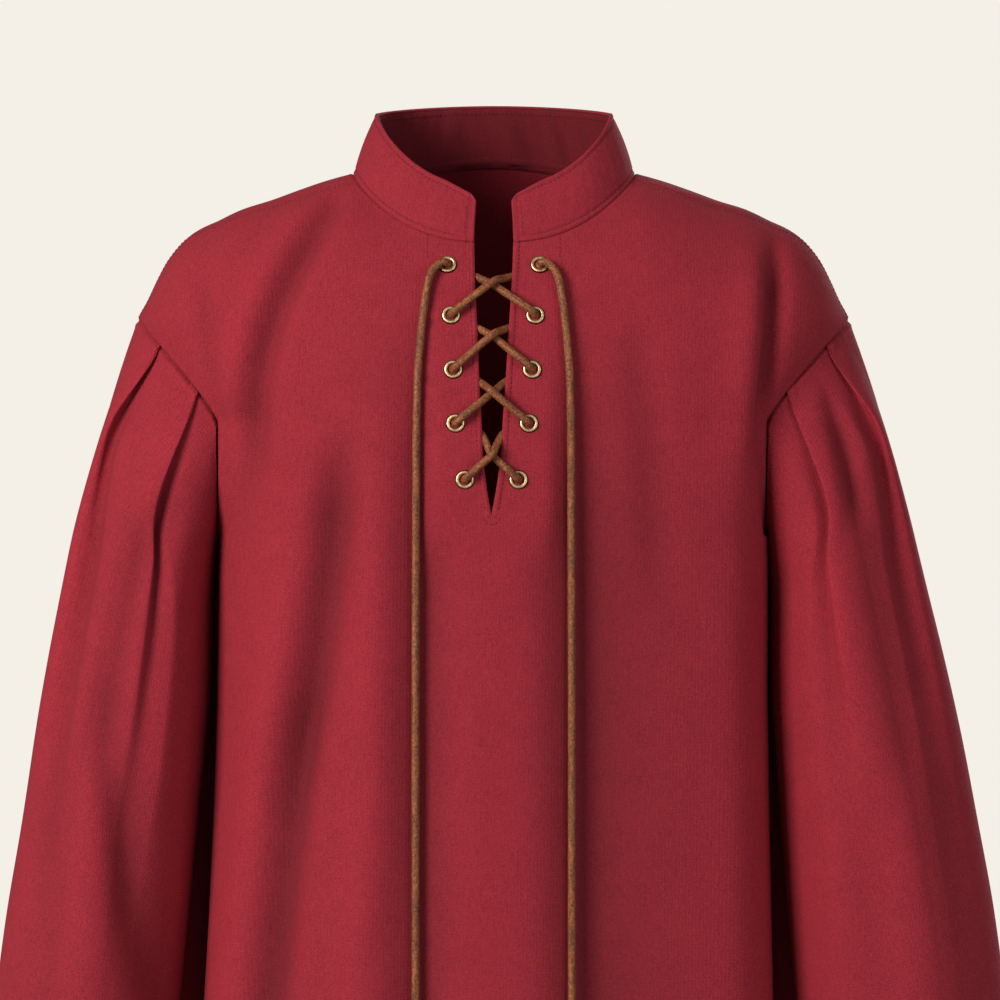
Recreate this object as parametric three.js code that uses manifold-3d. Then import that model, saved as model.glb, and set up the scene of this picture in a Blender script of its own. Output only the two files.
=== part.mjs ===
// Medieval laced shirt: hollow garment filled out on a wearer's figure.
// Millimetres, +Z up, the front faces -Y, the wearer's left is +X.
// The origin lies at shoulder height midway between the neck points.
import * as THREE from 'three';
import Module from 'manifold-3d';

// ---- Driving dimensions ----
const WALL = 1.2; // one layer of cloth
const COLLAR_WALL = 2.6; // doubled band
const GAP = 0.3; // between pieces at a seam
const SEAM_INSET = 0.4; // each panel's edge back from the seam line
const HEM_Z = -790;
const UNDERARM_Z = -262;
const BACK_ARCH_Z = -150; // where the back starts to curve over the shoulder
const SECTION_POWER = 2.6; // squareness of the body and neck sections
const CHEST_DEPTH = 121;
const BACK_DEPTH = 118;
const LEAN = 0.0085; // sideways drift of the body for each mm below the collar
const LEAN_FROM = -50;
const NECK = { half: 102.5, front: 86, back: 78, backRise: 30 };
const ARMHOLE = { midZ: -183, rise: 79, depth: 66, x: 199, reach: 64, startZ: -180, power: 1.15, tuck: 2 };
const SLIT_TOP = 14;
const SLEEVE = { outerDrop: 541, innerDrop: 398, sway: 5, blend: 0.15, rest: 2.2 };
const COLLAR = { front: 40, side: 45, back: 45, nape: 5, taper: 0.84, corner: 11, rows: 3 };
const EYELET = { bore: 4, flange: 6.6, hole: 5.3, sides: 12 };
const CORD = { radius: 2.8, sides: 7, rest: 5.6, endZ: -640 };

// Half breadth of the shoulder line, as its height falls.
const SHOULDER = [
  { x: 0, z: 5 },
  { x: 103, z: 4 },
  { x: 121, z: 0 },
  { x: 142, z: -7 },
  { x: 164, z: -15 },
  { x: 186, z: -22 },
  { x: 203, z: -30 },
  { x: 218, z: -37 },
  { x: 228, z: -44 },
  { x: 240, z: -59 },
  { x: 248, z: -74 },
  { x: 255, z: -89 },
  { x: 263, z: -104 },
  { x: 268, z: -120 },
];

// Body sections from the underarm down.
const BODY = [
  { z: -790, half: 214, front: 114, back: 112 },
  { z: -592, half: 207.5, front: 115, back: 113 },
  { z: -533, half: 205.5, front: 116, back: 114 },
  { z: -459, half: 203, front: 117, back: 115 },
  { z: -385, half: 201.5, front: 119, back: 116 },
  { z: -311, half: 201, front: 120, back: 117 },
  { z: -262, half: 201, front: 121, back: 118 },
];

// Neck slit, half its width at each height.
const SLIT = [
  { z: -246, half: 0.3 },
  { z: -228, half: 3.4 },
  { z: -205, half: 6.2 },
  { z: -182, half: 7.4 },
  { z: -160, half: 8.8 },
  { z: -122, half: 10.8 },
  { z: -74, half: 13.3 },
  { z: -50, half: SLIT_TOP },
];

// Sleeve outline seen from the front: outer edge, then the clearance beside the body.
const SLEEVE_OUTER = [
  { z: -645, x: 377 },
  { z: -592, x: 369.8 },
  { z: -533, x: 361.5 },
  { z: -474, x: 351 },
  { z: -414, x: 340.4 },
  { z: -355, x: 328.4 },
  { z: -296, x: 315 },
  { z: -237, x: 301.5 },
  { z: -192, x: 290 },
  { z: -163, x: 282.3 },
  { z: -133, x: 273 },
  { z: -104, x: 263 },
];
const SLEEVE_CLEAR = [
  { z: -660, gap: 22 },
  { z: -592, gap: 18 },
  { z: -533, gap: 14.5 },
  { z: -459, gap: 10.5 },
  { z: -385, gap: 5 },
  { z: -325, gap: 3.6 },
  { z: -290, gap: 2.8 },
  { z: -262, gap: 0.3 },
];
const SLEEVE_RINGS = [
  { down: 0, depth: 66, forward: 0 },
  { down: 0.03, depth: 68, forward: 1 },
  { down: 0.07, depth: 71, forward: 2 },
  { down: 0.12, depth: 73, forward: 3 },
  { down: 0.18, depth: 75, forward: 4 },
  { down: 0.26, depth: 77, forward: 6 },
  { down: 0.36, depth: 79, forward: 8 },
  { down: 0.48, depth: 81, forward: 9 },
  { down: 0.61, depth: 83, forward: 10 },
  { down: 0.75, depth: 84, forward: 11 },
  { down: 0.88, depth: 85, forward: 12 },
  { down: 1, depth: 85, forward: 12 },
];

// Knife pleats round the armhole: degrees from the shoulder point, front then back.
const PLEATS = [
  { atSeam: 44, below: 33, rise: 1 },
  { atSeam: 73, below: 98, rise: 1 },
  { atSeam: -73, below: -92, rise: 1 },
  { atSeam: -44, below: -36, rise: 1 },
];
// One pleat in section: distance across it and height, folded at the seam and open below.
const PLEAT_SECTION = [
  { across: -34, up: 0, openAcross: -34, openUp: 0 },
  { across: -18, up: 2.6, openAcross: -18, openUp: 2.6 },
  { across: -5, up: 4, openAcross: -9, openUp: 4.4 },
  { across: 0, up: 4, openAcross: -2, openUp: 4.2 },
  { across: 1, up: 3, openAcross: 2, openUp: 3.2 },
  { across: 0, up: 2, openAcross: 5, openUp: 2 },
  { across: -7, up: 2, openAcross: 8, openUp: 1 },
  { across: -8, up: 1, openAcross: 11, openUp: 0.4 },
  { across: -7, up: 0, openAcross: 14, openUp: 0 },
  { across: 6, up: 0, openAcross: 20, openUp: 0 },
];

// Largest folds of the body, seen from the front: a soft trough (down) or ridge (up).
const FRONT_FOLDS = [
  { x0: -112, z0: -10, x1: -173, z1: -185, bow: -22, wide: 14, up: -6 },
  { x0: -112, z0: -225, x1: -178, z1: -620, bow: 4, wide: 20, up: -11 },
  { x0: -146, z0: -290, x1: -205, z1: -700, bow: 6, wide: 19, up: 4 },
  { x0: -80, z0: -250, x1: -96, z1: -780, bow: 0, wide: 20, up: 3 },
  { x0: -57, z0: -110, x1: -57, z1: -800, bow: 0, wide: 18, up: -6 },
  { x0: 57, z0: -110, x1: 60, z1: -800, bow: 0, wide: 18, up: -6 },
  { x0: 96, z0: -150, x1: 100, z1: -800, bow: 0, wide: 20, up: 3 },
  { x0: 118, z0: -170, x1: 168, z1: -420, bow: 6, wide: 20, up: -6 },
  { x0: 122, z0: -330, x1: 132, z1: -780, bow: 0, wide: 24, up: 4 },
];
const BACK_FOLDS = [
  { x0: -40, z0: -120, x1: -66, z1: -780, bow: 0, wide: 22, up: -6 },
  { x0: 46, z0: -150, x1: 70, z1: -780, bow: 0, wide: 24, up: -6 },
  { x0: 130, z0: -230, x1: 168, z1: -700, bow: 4, wide: 22, up: -6 },
  { x0: -128, z0: -210, x1: -160, z1: -720, bow: -4, wide: 22, up: -6 },
  { x0: 0, z0: -200, x1: 4, z1: -780, bow: 0, wide: 28, up: 4 },
];

// Eyelet centres, and the lacing that leaves the slit below each pair.
const EYELETS = [
  { half: 33, z: -68.6, leaveZ: -75, crossZ: -84, onTop: 1 },
  { half: 30, z: -105.3, leaveZ: -113, crossZ: -121, onTop: 1 },
  { half: 28, z: -144.2, leaveZ: -152, crossZ: -161, onTop: -1 },
  { half: 26, z: -182.4, leaveZ: -190, crossZ: -205, onTop: 1 },
  { half: 19, z: -222.4 },
];
// The cord's turn into an eyelet: distance from its axis and height over the cloth.
const DIVE = [
  { across: 10, out: 4.9 },
  { across: 4, out: 4.8 },
  { across: 2, out: 4.26 },
  { across: 0.54, out: 2.8 },
  { across: 0.1, out: 1.7 },
  { across: 0, out: 0.8 },
];
const RISE = [
  { across: 0, out: -0.8 },
  { across: 0, out: -2 },
  { across: 0.54, out: -4 },
  { across: 2, out: -5.46 },
  { across: 4, out: -6 },
];
// Free ends of the cord below the top eyelets, measured from the middle of the slit.
const CORD_ENDS = [
  { x: 39.5, z: -70.4, out: 4.9 },
  { x: 43.4, z: -74.2, out: 4.7 },
  { x: 46.2, z: -81, out: 4.5 },
  { x: 48.4, z: -92, out: 4.1 },
  { x: 50.6, z: -109, out: 3.9 },
  { x: 52.4, z: -128, out: 4 },
  { x: 54, z: -150, out: 4.6 },
  { x: 55, z: -190, out: 5.4 },
  { x: 55.4, z: -240, out: 6.4 },
  { x: 55.8, z: -300, out: 6.6 },
  { x: 56, z: -380, out: 6.2 },
  { x: 56, z: -460, out: 6.3 },
  { x: 56, z: -550, out: 6.2 },
];

// Each half panel: columns fan from the neck to the underarm line and the armhole.
const HEM_COLUMNS = 12;
const ARMHOLE_COLUMNS = 9;
const COLUMNS = HEM_COLUMNS + ARMHOLE_COLUMNS;
const YOKE_ROWS = 11;
const LOW_ROWS = 6;

// ---- Reading the tables ----
const mix = (a, b, t) => a + (b - a) * t;
const clamp = (value, low, high) => Math.min(high, Math.max(low, value));
const smooth = (from, to, value) => {
  const t = clamp((value - from) / (to - from), 0, 1);
  return t * t * (3 - 2 * t);
};

// Smooth reading of one column of a table against another that rises row by row.
function read(rows, key, column, value) {
  const last = rows.length - 1;
  const at = clamp(value, rows[0][key], rows[last][key]);
  let i = 0;
  while (i < last - 1 && at > rows[i + 1][key]) i += 1;
  const slope = (k) => {
    const low = rows[Math.max(0, k - 1)];
    const high = rows[Math.min(last, k + 1)];
    return (high[column] - low[column]) / (high[key] - low[key]);
  };
  const span = rows[i + 1][key] - rows[i][key];
  const t = (at - rows[i][key]) / span;
  const ease = t * t * (3 - 2 * t);
  const lift = span * t * (1 - t) * ((1 - t) * slope(i) - t * slope(i + 1));
  return mix(rows[i][column], rows[i + 1][column], ease) + lift;
}

const lean = (z) => LEAN * Math.min(0, z - LEAN_FROM);
const shoulderZ = (x) => read(SHOULDER, 'x', 'z', Math.abs(x));
const squareArc = (share) => Math.max(0, 1 - Math.abs(share) ** SECTION_POWER) ** (1 / SECTION_POWER);

// ---- Armhole, neckline and shoulder seam ----
const armholeZ = (angle) => ARMHOLE.midZ + ARMHOLE.rise * Math.cos(angle);
function armholeX(z) {
  const over = Math.max(0, (z - ARMHOLE.startZ) / (ARMHOLE.midZ + ARMHOLE.rise - ARMHOLE.startZ));
  const under = Math.max(0, (-200 - z) / 62);
  return ARMHOLE.x + ARMHOLE.reach * over ** ARMHOLE.power + ARMHOLE.tuck * under * under;
}
const armholeDepth = (z) => {
  const share = clamp((z - ARMHOLE.midZ) / ARMHOLE.rise, -1, 1);
  return ARMHOLE.depth * Math.sqrt(1 - share * share);
};

// Height at which the cloth turns over the shoulder, higher at the nape.
function ridgeZ(x, front) {
  const rise = front ? 0 : NECK.backRise * Math.max(0, 1 - (x / NECK.half) ** 2) ** 1.5;
  return shoulderZ(x) + rise;
}

// Share of the full depth that is left at a height, as the cloth arches over the shoulder.
function arch(x, z, front) {
  const foot = front ? UNDERARM_Z : BACK_ARCH_Z;
  const t = clamp((z - foot) / (ridgeZ(x, front) - foot), 0, 1);
  return front ? Math.sqrt(1 - t ** 3) : Math.cbrt(1 - t ** 3.5);
}

// Half breadth of the section at a height, chosen so that it passes the armhole seam.
function sectionHalf(z, front) {
  if (z <= UNDERARM_Z) return read(BODY, 'z', 'half', z);
  const at = Math.min(z, ARMHOLE.midZ + ARMHOLE.rise - 0.5);
  const x = armholeX(at);
  const full = (front ? CHEST_DEPTH : BACK_DEPTH) * arch(x, at, front);
  return x / squareArc(armholeDepth(at) / full);
}

// Depth of the section at the shoulders, before the cloth arches over them.
const shoulderDepth = (x, front) => {
  const full = front ? CHEST_DEPTH : BACK_DEPTH;
  return full * squareArc(Math.min(1, x / sectionHalf(0, front)));
};

// Distance of the cloth from the plane of the shoulders, front or back, without its folds.
function bodyDepth(x, z, front) {
  const across = Math.abs(x);
  const share = squareArc(Math.min(1, across / sectionHalf(z, front)));
  if (z <= UNDERARM_Z) return read(BODY, 'z', front ? 'front' : 'back', z) * share;
  return (front ? CHEST_DEPTH : BACK_DEPTH) * share * arch(across, z, front);
}

function neckPoint(angle, front) {
  const x = NECK.half * Math.cos(angle) ** (2 / SECTION_POWER);
  const y = (front ? -NECK.front : NECK.back) * Math.sin(angle) ** (2 / SECTION_POWER);
  const share = Math.abs(y) / shoulderDepth(x, front);
  const foot = front ? UNDERARM_Z : BACK_ARCH_Z;
  const rise = front ? Math.cbrt(1 - share * share) : (1 - share ** 3) ** (1 / 3.5);
  return new THREE.Vector3(x, y, foot + (ridgeZ(x, front) - foot) * rise);
}

const SEAM_Y = NECK.front * 0.407;
const SEAM_ANGLE = Math.asin(0.407 ** (SECTION_POWER / 2));
const SLIT_ANGLE = Math.acos((SLIT_TOP / NECK.half) ** (SECTION_POWER / 2));
const SEAM_X = neckPoint(SEAM_ANGLE, true).x;
const TOP_X = ARMHOLE.x + ARMHOLE.reach;
const seamShare = (s) => 1 - (1 - s) ** 1.35;

// Shoulder seam from the neck (0) to the shoulder point (1), a little in front of the ridge.
const SEAM_REACH = SEAM_Y / shoulderDepth(SEAM_X, true);
function seamPoint(along) {
  const share = seamShare(along);
  const x = mix(SEAM_X, TOP_X, share);
  const reach = SEAM_REACH * (1 - share ** 3);
  const z = UNDERARM_Z + (shoulderZ(x) - UNDERARM_Z) * Math.cbrt(1 - reach * reach);
  return new THREE.Vector3(x, -reach * shoulderDepth(x, true), z);
}

// Neck edge of a half panel, from its middle (0) to the shoulder seam (1).
function neckEdge(along, front) {
  if (front) return neckPoint(mix(SLIT_ANGLE, SEAM_ANGLE, along), true);
  const angle = mix(Math.PI / 2, -SEAM_ANGLE, along);
  return neckPoint(Math.abs(angle), angle < 0);
}

// ---- Folds ----
function foldHeight(folds, x, z) {
  let height = 0;
  for (const fold of folds) {
    const share = (fold.z0 - z) / (fold.z0 - fold.z1);
    const fade = smooth(-0.18, 0.22, share) * (1 - smooth(0.8, 1.25, share));
    const along = clamp(share, 0, 1);
    const centre = mix(fold.x0, fold.x1, share) + fold.bow * 4 * along * (1 - along);
    const slope = (fold.x1 - fold.x0) / (fold.z1 - fold.z0);
    const away = (x - centre) / Math.hypot(1, slope) / fold.wide;
    height += fold.up * fade * Math.exp(-away * away);
  }
  return height;
}

// Point on the body cloth at a place seen from the front, moved out along its normal.
function bodyPoint(x, z, front, out = 0, calm = 0) {
  const side = front ? -1 : 1;
  const step = 0.5;
  const depth = bodyDepth(x, z, front);
  const alongX = (bodyDepth(x + step, z, front) - bodyDepth(x - step, z, front)) / (2 * step);
  const alongZ = (bodyDepth(x, z + step, front) - bodyDepth(x, z - step, front)) / (2 * step);
  const normal = new THREE.Vector3(-alongX, side, -alongZ).normalize();
  const flat = front ? (1 - smooth(36, 56, Math.abs(x))) * smooth(-300, -240, z) : 0;
  const folds = (1 - calm) * (1 - flat) * foldHeight(front ? FRONT_FOLDS : BACK_FOLDS, x, z);
  const point = new THREE.Vector3(x + lean(z), side * depth, z);
  return point.addScaledVector(normal, out + folds);
}

// ---- Walls ----
// Closed wall on a net of faces: each point goes out and in along its own normal.
function wall(points, faces, out, inward) {
  const normals = points.map(() => new THREE.Vector3());
  const side = new THREE.Vector3();
  const other = new THREE.Vector3();
  const edges = new Map();
  const solidFaces = faces.map((face) => face.filter((v, k) => v !== face[(k + 1) % face.length]));
  for (const face of solidFaces) {
    const [a, b, c] = face;
    const d = face[face.length - 1];
    side.subVectors(points[c], points[a]);
    other.subVectors(points[d], points[b]);
    if (face.length === 3) other.subVectors(points[c], points[b]);
    const normal = side.clone().cross(other);
    for (const v of face) normals[v].add(normal);
    face.forEach((v, k) => {
      const w = face[(k + 1) % face.length];
      if (edges.has(`${w},${v}`)) edges.delete(`${w},${v}`);
      else edges.set(`${v},${w}`, [v, w]);
    });
  }
  normals.forEach((normal) => normal.normalize());
  const place = [];
  for (const distance of [out, -inward]) {
    points.forEach((p, k) => {
      place.push(...p.clone().addScaledVector(normals[k], distance).toArray());
    });
  }
  const count = points.length;
  const index = [];
  for (const face of solidFaces) {
    for (let k = 1; k < face.length - 1; k += 1) {
      index.push(face[0], face[k], face[k + 1]);
      index.push(count + face[0], count + face[k + 1], count + face[k]);
    }
  }
  for (const [v, w] of edges.values()) index.push(v, count + v, count + w, v, count + w, w);
  const geometry = new THREE.BufferGeometry();
  geometry.setAttribute('position', new THREE.Float32BufferAttribute(place, 3));
  geometry.setIndex(index);
  return geometry;
}

// Net of named points, so that neighbouring faces share them.
function net() {
  const points = [];
  const known = new Map();
  return {
    points,
    faces: [],
    put(name, make) {
      if (!known.has(name)) {
        known.set(name, points.length);
        points.push(make());
      }
      return known.get(name);
    },
    get: (name) => points[known.get(name)],
  };
}

const towards = (from, to, distance) => {
  const step = to.clone().sub(from);
  return from.clone().addScaledVector(step, distance / Math.max(step.length(), 1e-6));
};

// ---- Body panels ----
// Shares of the cloth's length round one section, from the middle to the side seam.
function sectionX(half, depth, share) {
  const lengths = [0];
  const spots = [new THREE.Vector2(0, depth)];
  for (let k = 1; k <= 120; k += 1) {
    const angle = (k / 120) * (Math.PI / 2);
    const x = half * Math.sin(angle) ** (2 / SECTION_POWER);
    const y = depth * Math.cos(angle) ** (2 / SECTION_POWER);
    spots.push(new THREE.Vector2(x, k === 120 ? 0 : y));
    lengths.push(lengths[k - 1] + spots[k].distanceTo(spots[k - 1]));
  }
  const want = share * lengths[120];
  let k = 1;
  while (k < 120 && lengths[k] < want) k += 1;
  const t = (want - lengths[k - 1]) / (lengths[k] - lengths[k - 1]);
  return mix(spots[k - 1].x, spots[k].x, t);
}

// Cloth's length up the middle of a panel from the underarm, against the arch's own height.
const ARCHES = new Map([true, false].map((front) => {
  const foot = front ? UNDERARM_Z : BACK_ARCH_Z;
  const high = ridgeZ(60, front) - foot;
  const rows = [{ t: 0, length: foot - UNDERARM_Z }];
  let before = new THREE.Vector2(front ? CHEST_DEPTH : BACK_DEPTH, 0);
  for (let k = 1; k <= 90; k += 1) {
    const angle = (k / 90) * (Math.PI / 2);
    const t = Math.sin(angle) ** (front ? 2 / 3 : 2 / 3.5);
    const share = k === 90 ? 0 : Math.cos(angle) ** (front ? 1 : 2 / 3);
    const spot = new THREE.Vector2((front ? CHEST_DEPTH : BACK_DEPTH) * share, high * t);
    rows.push({ t, length: rows[k - 1].length + spot.distanceTo(before) });
    before = spot;
  }
  return [front, rows];
}));

// Straight reading between the rows of a fine table.
function readLine(rows, key, column, value) {
  const k = clamp(rows.findIndex((row) => row[key] >= value), 1, rows.length - 1);
  const t = (value - rows[k - 1][key]) / (rows[k][key] - rows[k - 1][key]);
  return mix(rows[k - 1][column], rows[k][column], clamp(t, 0, 1));
}

const RIDGE_LENGTH = ARCHES.get(false)[90].length;

// Length up the cloth from the underarm line; past the ridge it runs down the front side.
function lengthUp(point, front) {
  const foot = front ? UNDERARM_Z : BACK_ARCH_Z;
  if (!front && point.y < 0) return RIDGE_LENGTH - point.y;
  if (point.z <= foot) return point.z - UNDERARM_Z;
  const t = Math.min(1, (point.z - foot) / (ridgeZ(point.x, front) - foot));
  return readLine(ARCHES.get(front), 't', 'length', t);
}

function heightUp(x, length, front) {
  const foot = front ? UNDERARM_Z : BACK_ARCH_Z;
  if (length <= foot - UNDERARM_Z) return UNDERARM_Z + length;
  const t = readLine(ARCHES.get(front), 'length', 't', length);
  return foot + t * (ridgeZ(x, front) - foot);
}

// Point of a half panel's yoke before its folds, as distance from the middle and length up.
function yokePlace(u, v, front) {
  const flat = (point) => ({ x: point.x, up: lengthUp(point, front) });
  const half = ARMHOLE.x + ARMHOLE.tuck;
  const hemShare = HEM_COLUMNS / COLUMNS;
  const inner = (share) => flat(neckEdge(share, front));
  const outer = (share) => {
    if (share <= hemShare) {
      const x = sectionX(half, front ? CHEST_DEPTH : BACK_DEPTH, share / hemShare);
      return { x: share === hemShare ? half : x, up: 0 };
    }
    const z = armholeZ(Math.PI * (1 - (share - hemShare) / (1 - hemShare)));
    return flat(new THREE.Vector3(armholeX(z), front ? -1 : 1, z));
  };
  const middle = (share) => {
    const last = 1 - 1 / YOKE_ROWS;
    const slitEnd = front ? SLIT[0].z - UNDERARM_Z : inner(0).up / YOKE_ROWS;
    const up = share < last
      ? mix(inner(0).up, slitEnd, share / last)
      : slitEnd * (1 - (share - last) * YOKE_ROWS);
    const z = heightUp(inner(0).x, up, front);
    return { x: front && share <= last + 1e-9 ? read(SLIT, 'z', 'half', z) : 0, up };
  };
  const seam = (share) => flat(seamPoint(share));
  const corners = [[inner(0), middle(1)], [inner(1), outer(1)]];
  const blend = (axis) => {
    const sides = mix(inner(u)[axis], outer(u)[axis], v) + mix(middle(v)[axis], seam(v)[axis], u);
    const near = mix(corners[0][0][axis], corners[0][1][axis], v);
    const far = mix(corners[1][0][axis], corners[1][1][axis], v);
    return sides - mix(near, far, u);
  };
  return { x: blend('x'), up: blend('up') };
}

// One point of a panel: column i from the middle, row j from the neck, side 1 or -1.
function panelPoint(i, j, side, front) {
  const lowered = (x, y, z) => new THREE.Vector3(side * x + lean(z), y, z);
  if (j === 0) {
    const { x, y, z } = neckEdge(i / COLUMNS, front);
    return lowered(x, y, z);
  }
  if (i === COLUMNS) {
    const { x, y, z } = seamPoint(j / YOKE_ROWS);
    return lowered(x, y, z);
  }
  if (j >= YOKE_ROWS && i >= HEM_COLUMNS) {
    if (j === YOKE_ROWS) {
      const z = armholeZ(Math.PI * (1 - (i - HEM_COLUMNS) / ARMHOLE_COLUMNS));
      return lowered(armholeX(z), front ? -armholeDepth(z) : armholeDepth(z), z);
    }
    const z = mix(UNDERARM_Z, HEM_Z, (j - YOKE_ROWS) / LOW_ROWS);
    return lowered(read(BODY, 'z', 'half', z), 0, z);
  }
  if (j > YOKE_ROWS) {
    const z = mix(UNDERARM_Z, HEM_Z, (j - YOKE_ROWS) / LOW_ROWS);
    const half = read(BODY, 'z', 'half', z);
    const depth = read(BODY, 'z', front ? 'front' : 'back', z);
    const calm = smooth(HEM_COLUMNS - 3, HEM_COLUMNS, i);
    return bodyPoint(side * sectionX(half, depth, i / HEM_COLUMNS), z, front, 0, calm);
  }
  const place = yokePlace(i / COLUMNS, j / YOKE_ROWS, front);
  if (!front && place.up > RIDGE_LENGTH) {
    const y = RIDGE_LENGTH - place.up;
    const drop = Math.cbrt(1 - (y / shoulderDepth(place.x, true)) ** 2);
    return lowered(place.x, y, UNDERARM_Z + (shoulderZ(place.x) - UNDERARM_Z) * drop);
  }
  const z = heightUp(place.x, place.up, front);
  const toArmhole = smooth(HEM_COLUMNS - 2, HEM_COLUMNS + 1, i) * smooth(YOKE_ROWS - 3, YOKE_ROWS, j);
  const calm = Math.max(1 - smooth(0, 3, j), smooth(COLUMNS - 3, COLUMNS, i), toArmhole);
  return bodyPoint(side * place.x, z, front, 0, calm);
}

function panel(front) {
  const cloth = net();
  const rows = YOKE_ROWS + LOW_ROWS;
  for (const side of [1, -1]) {
    const onEdge = (i, j) => i === COLUMNS || (j >= YOKE_ROWS && i >= HEM_COLUMNS) || j === 0;
    const inset = (i, j) => {
      const point = panelPoint(i, j, side, front);
      if (!onEdge(i, j) || (j === 0 && i < COLUMNS)) return point;
      const inside = i === COLUMNS || j > YOKE_ROWS ? [i - 1, j] : [i, j - 1];
      const corner = i === HEM_COLUMNS && j === YOKE_ROWS ? [i - 1, j] : inside;
      return towards(point, panelPoint(...corner, side, front), SEAM_INSET);
    };
    const put = (i, j) => {
      const joined = i === 0 && (!front || j >= YOKE_ROWS - 1);
      return cloth.put(joined ? `0,${j}` : `${side},${i},${j}`, () => inset(i, j));
    };
    for (let j = 0; j < rows; j += 1) {
      const across = j < YOKE_ROWS ? COLUMNS : HEM_COLUMNS;
      for (let i = 0; i < across; i += 1) {
        const face = [put(i, j + 1), put(i + 1, j + 1), put(i + 1, j), put(i, j)];
        cloth.faces.push((side > 0) === front ? face : face.reverse());
      }
    }
  }
  return cloth;
}

// ---- Sleeves ----
// Armhole point at an angle from the shoulder point, on the body panels' own edges.
function armholePoint(angle, side) {
  const turn = Math.abs(angle) / Math.PI;
  const front = angle >= 0;
  const spot = turn * ARMHOLE_COLUMNS;
  const low = Math.min(ARMHOLE_COLUMNS - 1, Math.floor(spot));
  const at = (k) => {
    const z = armholeZ((Math.PI * k) / ARMHOLE_COLUMNS);
    const depth = armholeDepth(z);
    const x = armholeX(z) + side * lean(z);
    return new THREE.Vector3(x, front ? -depth : depth, z);
  };
  return at(low).lerp(at(low + 1), spot - low);
}

// Share of a sleeve's ring, behind the arm, that lies against the body's side.
function besideBody(angle) {
  const turn = THREE.MathUtils.radToDeg((angle + 2 * Math.PI) % (2 * Math.PI));
  return smooth(186, 205, turn) * (1 - smooth(232, 265, turn));
}

// Where a sleeve resting on the body's side lies.
function bodySide(y, z, side) {
  const half = read(BODY, 'z', 'half', z);
  const depth = read(BODY, 'z', 'back', z);
  return half * squareArc(y / depth) + side * lean(z) + SLEEVE.rest;
}

// Plain sleeve surface in the sleeve's own half space (x grows away from the body).
function sleeveBase(angle, down, side) {
  const outerZ = -104 - SLEEVE.outerDrop * down;
  const innerZ = UNDERARM_Z - SLEEVE.innerDrop * down;
  const sway = side * SLEEVE.sway * smooth(-200, -533, outerZ);
  const outerX = read(SLEEVE_OUTER, 'z', 'x', outerZ) + sway;
  const bodyX = read(BODY, 'z', 'half', innerZ) + side * lean(innerZ);
  const innerX = bodyX + read(SLEEVE_CLEAR, 'z', 'gap', innerZ);
  const depth = read(SLEEVE_RINGS, 'down', 'depth', down);
  const forward = read(SLEEVE_RINGS, 'down', 'forward', down);
  const reach = 0.5 + Math.cos(angle) / 2;
  const y = -forward - depth * Math.sin(angle);
  const z = mix(innerZ, outerZ, reach);
  const lie = besideBody(angle) * smooth(0, 0.12, down);
  return new THREE.Vector3(mix(mix(innerX, outerX, reach), bodySide(y, z, side), lie), y, z);
}

function sleeveSurface(angle, down, side) {
  const point = sleeveBase(angle, down, side);
  const hold = 1 - smooth(0, SLEEVE.blend, down);
  if (hold > 0) {
    const shift = armholePoint(angle, side).sub(sleeveBase(angle, 0, side));
    point.addScaledVector(shift, hold);
  }
  return point;
}

// Angles round one ring, with the sections of the pleats set between the plain stretches.
function ringSpots(down) {
  const spots = [];
  const radius = 76;
  const open = smooth(0.0, 0.24, down);
  const fade = 1 - 0.75 * smooth(0.25, 0.8, down);
  const plain = (from, to, count) => {
    for (let k = 0; k < count; k += 1) spots.push({ angle: mix(from, to, k / count), up: 0 });
  };
  const pleatAngles = PLEATS.map((pleat) => {
    const angle = mix(pleat.atSeam, pleat.below, smooth(0, 0.2, down));
    return THREE.MathUtils.degToRad(angle);
  });
  const edges = PLEATS.map((pleat, n) => {
    const sign = Math.sign(pleat.atSeam);
    const section = PLEAT_SECTION.map((row) => ({
      angle: pleatAngles[n] + (sign * mix(row.across, row.openAcross, open)) / radius,
      up: pleat.rise * fade * mix(row.up, row.openUp, open),
    }));
    return sign > 0 ? section : section.reverse();
  });
  const [first, second, third, fourth] = edges;
  const end = (section) => section[section.length - 1].angle;
  spots.push(...first);
  plain(end(first), second[0].angle, 1);
  spots.pop();
  spots.push(...second);
  plain(end(second), third[0].angle + 2 * Math.PI, 10);
  spots.splice(-10, 1);
  third.forEach((spot) => spots.push({ angle: spot.angle + 2 * Math.PI, up: spot.up }));
  fourth.forEach((spot) => spots.push({ angle: spot.angle + 2 * Math.PI, up: spot.up }));
  plain(end(fourth) + 2 * Math.PI, first[0].angle + 2 * Math.PI, 3);
  spots.splice(-3, 1);
  return spots;
}

const wrap = (angle) => {
  const turned = (angle + Math.PI) % (2 * Math.PI);
  return turned - Math.PI;
};

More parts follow.
